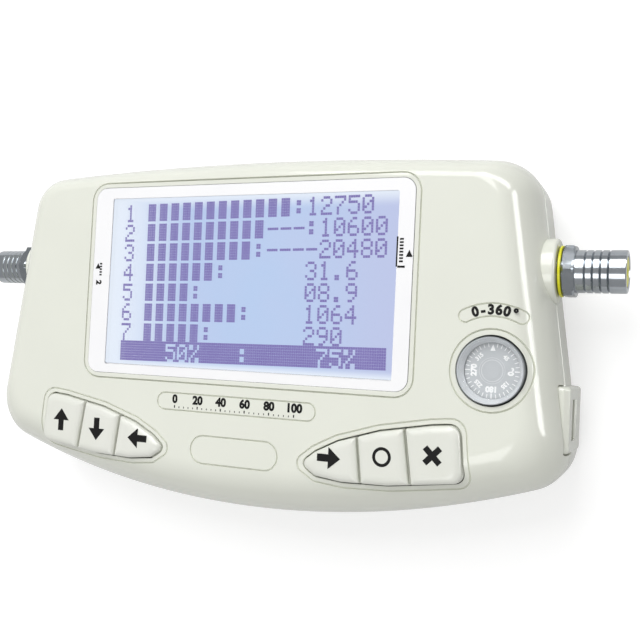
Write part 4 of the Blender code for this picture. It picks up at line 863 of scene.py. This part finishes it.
# A triangle, small bars and a number at each port
marks_z, bar_step, bar_tall = FACE_Z + BORDER_THICK, 0.72, 0.4
marks = [[(-43.3, 15.2), (-41.7, 15.2), (-42.5, 16.6)], [(42.3, 18.4), (43.9, 18.4), (43.1, 20.0)],
         bar(40.0, 40.35, 16.2, 23.0)]
for x, first, half, count in ((-41.6, 13.4, 0.35, 5), (41.2, 17.2, 0.45, 8)):
    marks += [bar(x - half, x + half, first + bar_step * k, first + bar_step * k + bar_tall)
              for k in range(count)]
texts = [figures(number, 2.2, spot, marks_z, -math.pi / 2, bold=0.12)
         for number, spot in (("2", (-42.1, 11.6)), ("1", (41.2, 16.2)))]
fit(printed("port_marks", [prism(m, marks_z) for m in marks], texts), "meter", "clear_panel", black_ink)

glass = bar(-GLASS_HALF_X, GLASS_HALF_X, WINDOW_Y - GLASS_HALF_Y, WINDOW_Y + GLASS_HALF_Y)
glass_rings = [rounded(glass, 0.6, GLASS_Z), rounded(glass, 0.6, GLASS_TOP - 0.1),
               rounded(grown(glass, -0.1), 0.5, GLASS_TOP)]
fit(solid("display_panel", [glass_rings]), "meter", "display_glass", lit_display(), "lcd_glass")
fit(display_dots(), "meter", "display_glass", dots_ink)

# A scale from 0 to 100 on the long plate, and a range of degrees on the bent one
plate_texts = [figures(str(20 * k), 2.8, (SCALE_X + SCALE_STEP * k, SCALE_Y + 2.1), FACE_Z, bold=0.14)
               for k in range(6)]
plate_marks = []
for k in range(26):
    x, (half, tall) = SCALE_X + SCALE_STEP / 5 * k, (0.09, 0.4) if k % 5 else (0.14, 0.65)
    plate_marks.append(prism(bar(x - half, x + half, SCALE_Y, SCALE_Y + tall), FACE_Z))
arc_texts = []
for k, sign in enumerate("0-360\u00b0"):
    turn = math.radians(17.0 - 7.6 * k)
    spot = polar(DIAL, BENT_TEXT_R, turn + math.pi / 2)
    arc_texts.append(figures(sign, 2.9, spot, FACE_Z, turn, bold=0.15))
fit(printed("scale_print", plate_marks, plate_texts + arc_texts), "meter", "case_plastic", black_ink)

# Compass
cup_out, cup_in, rim_z = DIAL_R - 0.27, DIAL_R - 0.42, FACE_Z + 0.75
cup = turned([(CUP_R, CUP_Z), (CUP_R, CUP_STEP), (cup_out, CUP_STEP), (cup_out, rim_z - 0.05),
              (cup_out - 0.05, rim_z), (cup_in + 0.03, rim_z), (cup_in, rim_z - 0.03),
              (cup_in, CUP_FLOOR), (CUP_BORE, CUP_FLOOR), (CUP_BORE, CUP_STEP)], DIAL)
fit(solid("compass_capsule", [cup]), "meter", "compass_grey", cup_grey_painted_shade, "compass_cup")
liner_low, liner_high = 6.1, cup_in - 0.1
trim = turned([(cup_in - 0.02, LENS_Z - 0.4), (cup_in - 0.02, rim_z), (liner_high, rim_z - 0.02),
               (liner_low, LENS_Z - 0.05), (liner_low, LENS_Z - 0.4)], DIAL)
fit(solid("compass_trim", [trim], closed=True), "meter", "compass_grey", trim_grey_painted_light, "compass_cup")
lens_r, lens_top = liner_high - 0.03, LENS_TOP + 0.3
lens = [(liner_low - 0.03, LENS_Z), (lens_r, lens_top - 0.3)]
lens += [(lens_r - 0.4 * (1 - math.cos(t)), lens_top - 0.3 + 0.2 * math.sin(t))
         for t in quarter(5)[1:]]
lens += [(r, lens_top - 0.1 * (r / lens_r) ** 2) for r in (6.0, 4.5, 3.0, 1.5)]
fit(solid("compass_window", [turned(lens, DIAL)]), "meter", "clear_panel", lens_clear, "compass_lens")
bearing_in, bearing_out, bearing_z = 0.8, 1.6, 27.9
card = turned([(CARD_R, CARD_Z), (CARD_R, CARD_TOP - 0.1), (CARD_R - 0.1, CARD_TOP),
               (bearing_in, CARD_TOP), (bearing_in, bearing_z), (bearing_out, bearing_z),
               (bearing_out, CARD_Z)], DIAL)
fit(solid("compass_disc", [card], closed=True), "compass_dial", "compass_card", dial_grey,
    "compass_card")
hub = turned([(1.75, CARD_TOP), (1.75, CARD_TOP + 0.05), (1.6, CARD_TOP + 0.08)], DIAL, 64)
fit(solid("compass_hub", [hub]), "compass_dial", "compass_card", dial_grey)


def round_dial(radius, degrees):
    """A place on the dial, clockwise from its top, and the turn of a sign that stands on it."""
    turn = math.radians(degrees)
    return (DIAL[0] + radius * math.sin(turn), DIAL[1] + radius * math.cos(turn)), -turn


ticks = []
for k in range(1, 36):
    half, inner = (0.13, 4.85) if k % 9 == 0 else (0.085, 5.1)
    low, turn = round_dial(inner, 10 * k)
    high, _ = round_dial(5.95, 10 * k)
    low, high, wide = Vector(low), Vector(high), Vector((math.cos(turn), math.sin(turn))) * half
    ticks.append(prism([low - wide, low + wide, high + wide, high - wide], CARD_TOP))
# A triangle takes the first tick's place
ticks.append(prism([(DIAL[0] - 0.55, DIAL[1] + 4.3), (DIAL[0] + 0.55, DIAL[1] + 4.3),
                    (DIAL[0], DIAL[1] + 5.7)], CARD_TOP))
dial_texts = []
for n in range(45, 360, 45):
    size, radius, bold = (1.7, 3.95, 0.1) if n % 90 == 0 else (1.25, 4.05, 0.06)
    spot, turn = round_dial(radius, n)
    dial_texts.append(figures(str(n), size, spot, CARD_TOP, turn, bold=bold))
fit(printed("compass_marks", ticks, dial_texts), "compass_dial", "compass_card", dial_ink)
rings = [band(DIAL, 2.25, 2.4, CARD_TOP), band(DIAL, 2.75, 2.85, CARD_TOP)]
fit(printed("compass_rings", [], closed=rings), "compass_dial", "compass_card", ring_grey)


def barrel():
    """The barrel and the shank: four narrow grooves, a plain end and the bore."""
    profile = [(CORE_R, SHANK_IN), (SHANK_R - 0.3, SHANK_IN), (SHANK_R, SHANK_IN + 0.3),
               (SHANK_R, BARREL_X - 1), (BARREL_R, BARREL_X - 1)]
    root = BARREL_R - GROOVE_DEPTH
    for k in range(GROOVES):
        start = BARREL_X + GROOVE_START + GROOVE_PITCH * k
        profile += [(BARREL_R, start - 0.05), (root, start + 0.2), (BARREL_R, start + 0.45)]
    profile += [(BARREL_R, TIP - 0.3), (BARREL_R - 0.1, TIP - 0.08), (BARREL_R - 0.3, TIP),
                (BORE_R + 0.25, TIP), (BORE_R, TIP - 0.25), (BORE_R, TIP - BORE), (CORE_R, TIP - BORE)]
    return turned(profile)


def hexagon():
    """The hexagon, with its corners turned down on both faces."""
    rings = []
    for limit, x in ((4.01, HEX_X), (5.75, HEX_X), (6.4, HEX_X + 0.4), (6.4, BARREL_X - 0.4),
                     (5.6, BARREL_X), (4.01, BARREL_X)):
        ring = []
        for i in range(STEPS):
            turn = 2 * math.pi * i / STEPS
            from_flat = (turn + math.pi / 6) % (math.pi / 3) - math.pi / 6
            radius = min(limit, HEX_R / math.cos(from_flat))
            ring.append((radius * math.cos(turn), radius * math.sin(turn), x))
        rings.append(ring)
    return rings


for side, place in ((1, "right"), (-1, "left")):
    body = solid(f"coax_barrel_{place}", [along_x(barrel(), side)], closed=True)
    fit(body, "meter", "connector_plate", nickel, f"connector_body_{place}", degrees=40)
    nut = solid(f"coax_hexagon_{place}", [along_x(hexagon(), side)], closed=True)
    fit(nut, "meter", "connector_plate", hex_nickel_painted_shade, f"connector_body_{place}")
    washer = [(4.3, RING_X), (5.6, RING_X), (5.75, RING_X + 0.15), (5.75, RING_X + 0.45),
              (5.6, RING_X + 0.6), (4.3, RING_X + 0.6)]
    fit(solid(f"coax_ring_{place}", [along_x(turned(washer), side)], closed=True),
        "meter", "yellow_plastic", yellow, f"connector_ring_{place}")
    plug = [(0.8, SHANK_IN), (1.4, SHANK_IN), (1.4, TIP - BORE + 0.3), (3.4, TIP - BORE + 0.3),
            (3.4, TIP - 0.35), (3.2, TIP - 0.15), (1.1, TIP - 0.15), (0.8, TIP - 0.45)]
    fit(solid(f"coax_insulator_{place}", [along_x(turned(plug), side)], closed=True),
        "meter", "yellow_plastic", yellow, f"connector_insulator_{place}")

for number, spot in enumerate(sides_of(FEET), 1):
    profile = [(FOOT_R - 0.5, 0), (FOOT_R - 0.15, 0.1), (FOOT_R, 0.4), (FOOT_R, FOOT_TOP)]
    foot = turned(profile, spot, 64)
    fit(solid(f"rubber_foot_{number}", [foot]), "meter", "foot_rubber", rubber, f"foot_{number}")

# Finishes of the nodes that are carried over, by how their names start, screws before boards
CARRIED = (
    (zinc, ("board_screw", "key_board_screw", "case_screw")), (window_clear, ("window_panel",)),
    (board_green, ("lcd_board", "main_board", "key_board")), (tinned, ("lcd_frame", "tuner_can")),
    (black_moulding, ("lcd_header", "processor", "power_coil", "buzzer", "switch_", "plunger_")),
    (milky, ("lcd_backlight",)), (film, ("key_ribbon",)), (sleeve, ("capacitor",)),
    (brass, ("compass_pivot", "connector_contact")))
for name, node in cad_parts.items():
    chosen = next((worn for worn, starts in CARRIED if name.startswith(starts)), None)
    if chosen and not node.hide_render:
        node.data.materials.clear()
        node.data.materials.append(chosen)


# Floor, background, lamps and camera

FLOOR_HALF = 2.5
floor_mesh = bpy.data.meshes.new("floor")
corners = level(bar(-FLOOR_HALF, FLOOR_HALF, -FLOOR_HALF, FLOOR_HALF), 0)
floor_mesh.from_pydata(corners, [], [(0, 1, 2, 3)])
floor = placed("floor", floor_mesh)


def seen_directly(tree):
    """1 for a ray from the camera, straight or through clear plastic, and 1 for one from a gloss."""
    path = add(tree, "ShaderNodeLightPath")
    straight = add(tree, "ShaderNodeMath", {0: path.outputs["Is Camera Ray"],
                                            1: path.outputs["Is Transmission Ray"]},
                   operation="MAXIMUM")
    return straight.outputs[0], path.outputs["Is Glossy Ray"]


paper, tree, shader = blank("pale_paper_floor", Base_Color=linear("CACACA"), Roughness=0.9,
                            Specular_IOR_Level=0.0, Emission_Color=(1, 1, 1, 1))
# The floor's own light grows a little away from the meter, and a gloss sees less of it
NEAR, FAR, NEAR_GLOW, FAR_GLOW, GLOSS_SHARE = 0.3, 1.3, 0.56, 0.72, 0.42
straight, in_gloss = seen_directly(tree)
seen = add(tree, "ShaderNodeMath", {0: in_gloss, 1: GLOSS_SHARE, 2: straight},
           operation="MULTIPLY_ADD")
where = add(tree, "ShaderNodeTexCoord").outputs["Object"]
reach = add(tree, "ShaderNodeVectorMath", {0: where}, operation="LENGTH")
own_light = add(tree, "ShaderNodeMapRange", {"Value": reach.outputs["Value"], "From Min": NEAR,
                                             "From Max": FAR, "To Min": NEAR_GLOW, "To Max": FAR_GLOW})
glow = add(tree, "ShaderNodeMath", {0: seen.outputs[0], 1: own_light.outputs[0]}, operation="MULTIPLY")
tree.links.new(glow.outputs[0], shader.inputs["Emission Strength"])
floor_mesh.materials.append(paper)

SKY = 0.49
world = bpy.data.worlds.new("studio")
world.use_nodes = True
bpy.context.scene.world = world
tree = world.node_tree
dim = add(tree, "ShaderNodeBackground", {"Color": (1, 1, 1, 1), "Strength": SKY})
white = add(tree, "ShaderNodeBackground", {"Color": (1, 1, 1, 1), "Strength": 1.0})
mixed = add(tree, "ShaderNodeMixShader", {0: seen_directly(tree)[0], 1: dim.outputs[0],
                                          2: white.outputs[0]})
tree.links.new(mixed.outputs[0], tree.nodes["World Output"].inputs["Surface"])


def lamp(name, spot, target, width, height, radiance, roll=0, gloss_only=False):
    """A soft box with an even surface brightness, turned to the target and rolled by degrees."""
    light = bpy.data.lights.new(name, "AREA")
    light.shape, light.size, light.size_y = "RECTANGLE", width, height
    light.energy = radiance * math.pi * width * height
    made = placed(name, light)
    made.location = spot
    turn = (Vector(target) - Vector(spot)).to_track_quat("-Z", "Y")
    rolled = Matrix.Rotation(math.radians(roll), 4, "Z")
    made.rotation_euler = (turn.to_matrix().to_4x4() @ rolled).to_euler()
    made.visible_diffuse = not gloss_only


def seen_at(azimuth, elevation, distance, aim):
    """A place at a distance from a point, with the angles in degrees."""
    a, e = math.radians(azimuth), math.radians(elevation)
    way = Vector((math.cos(e) * math.cos(a), math.cos(e) * math.sin(a), math.sin(e)))
    return Vector(aim) + way * distance


MIDDLE, RIGHT_EDGE, RIGHT_BARREL = (0, 0, 0.03), (0.07, 0.01, 0.03), (0.083, 0.017, 0.022)
lamp("key_soft_box", seen_at(100, 49, 1.0, MIDDLE), MIDDLE, 0.6, 0.8, 4.1)
lamp("side_strip", seen_at(13, 11, 1.2, RIGHT_EDGE), RIGHT_EDGE, 0.75, 0.36, 8.0, 20, True)
lamp("corner_strip", seen_at(66, 34, 1.2, RIGHT_EDGE), RIGHT_EDGE, 1.3, 0.34, 7.0, 26, True)
lamp("lower_band", seen_at(256, 61, 1.0, RIGHT_BARREL), RIGHT_BARREL, 0.3, 0.4, 3.1)

CAMERA_AT = (0.10732, -0.00329, 0.21895)
YAW, PITCH, ROLL = -0.426879461, -0.033828557, -0.049193782
turn = Matrix.Rotation(ROLL, 3, "Z") @ Matrix.Rotation(PITCH, 3, "X") @ Matrix.Rotation(YAW, 3, "Y")
lens_data = bpy.data.cameras.new("camera")
lens_data.lens, lens_data.sensor_width, lens_data.clip_start = 50, 36, 0.01
camera = placed("camera", lens_data)
camera.matrix_world = Matrix.Translation(CAMERA_AT) @ turn.transposed().to_4x4()
bpy.context.scene.camera = camera
bpy.context.scene.view_settings.view_transform = "Standard"
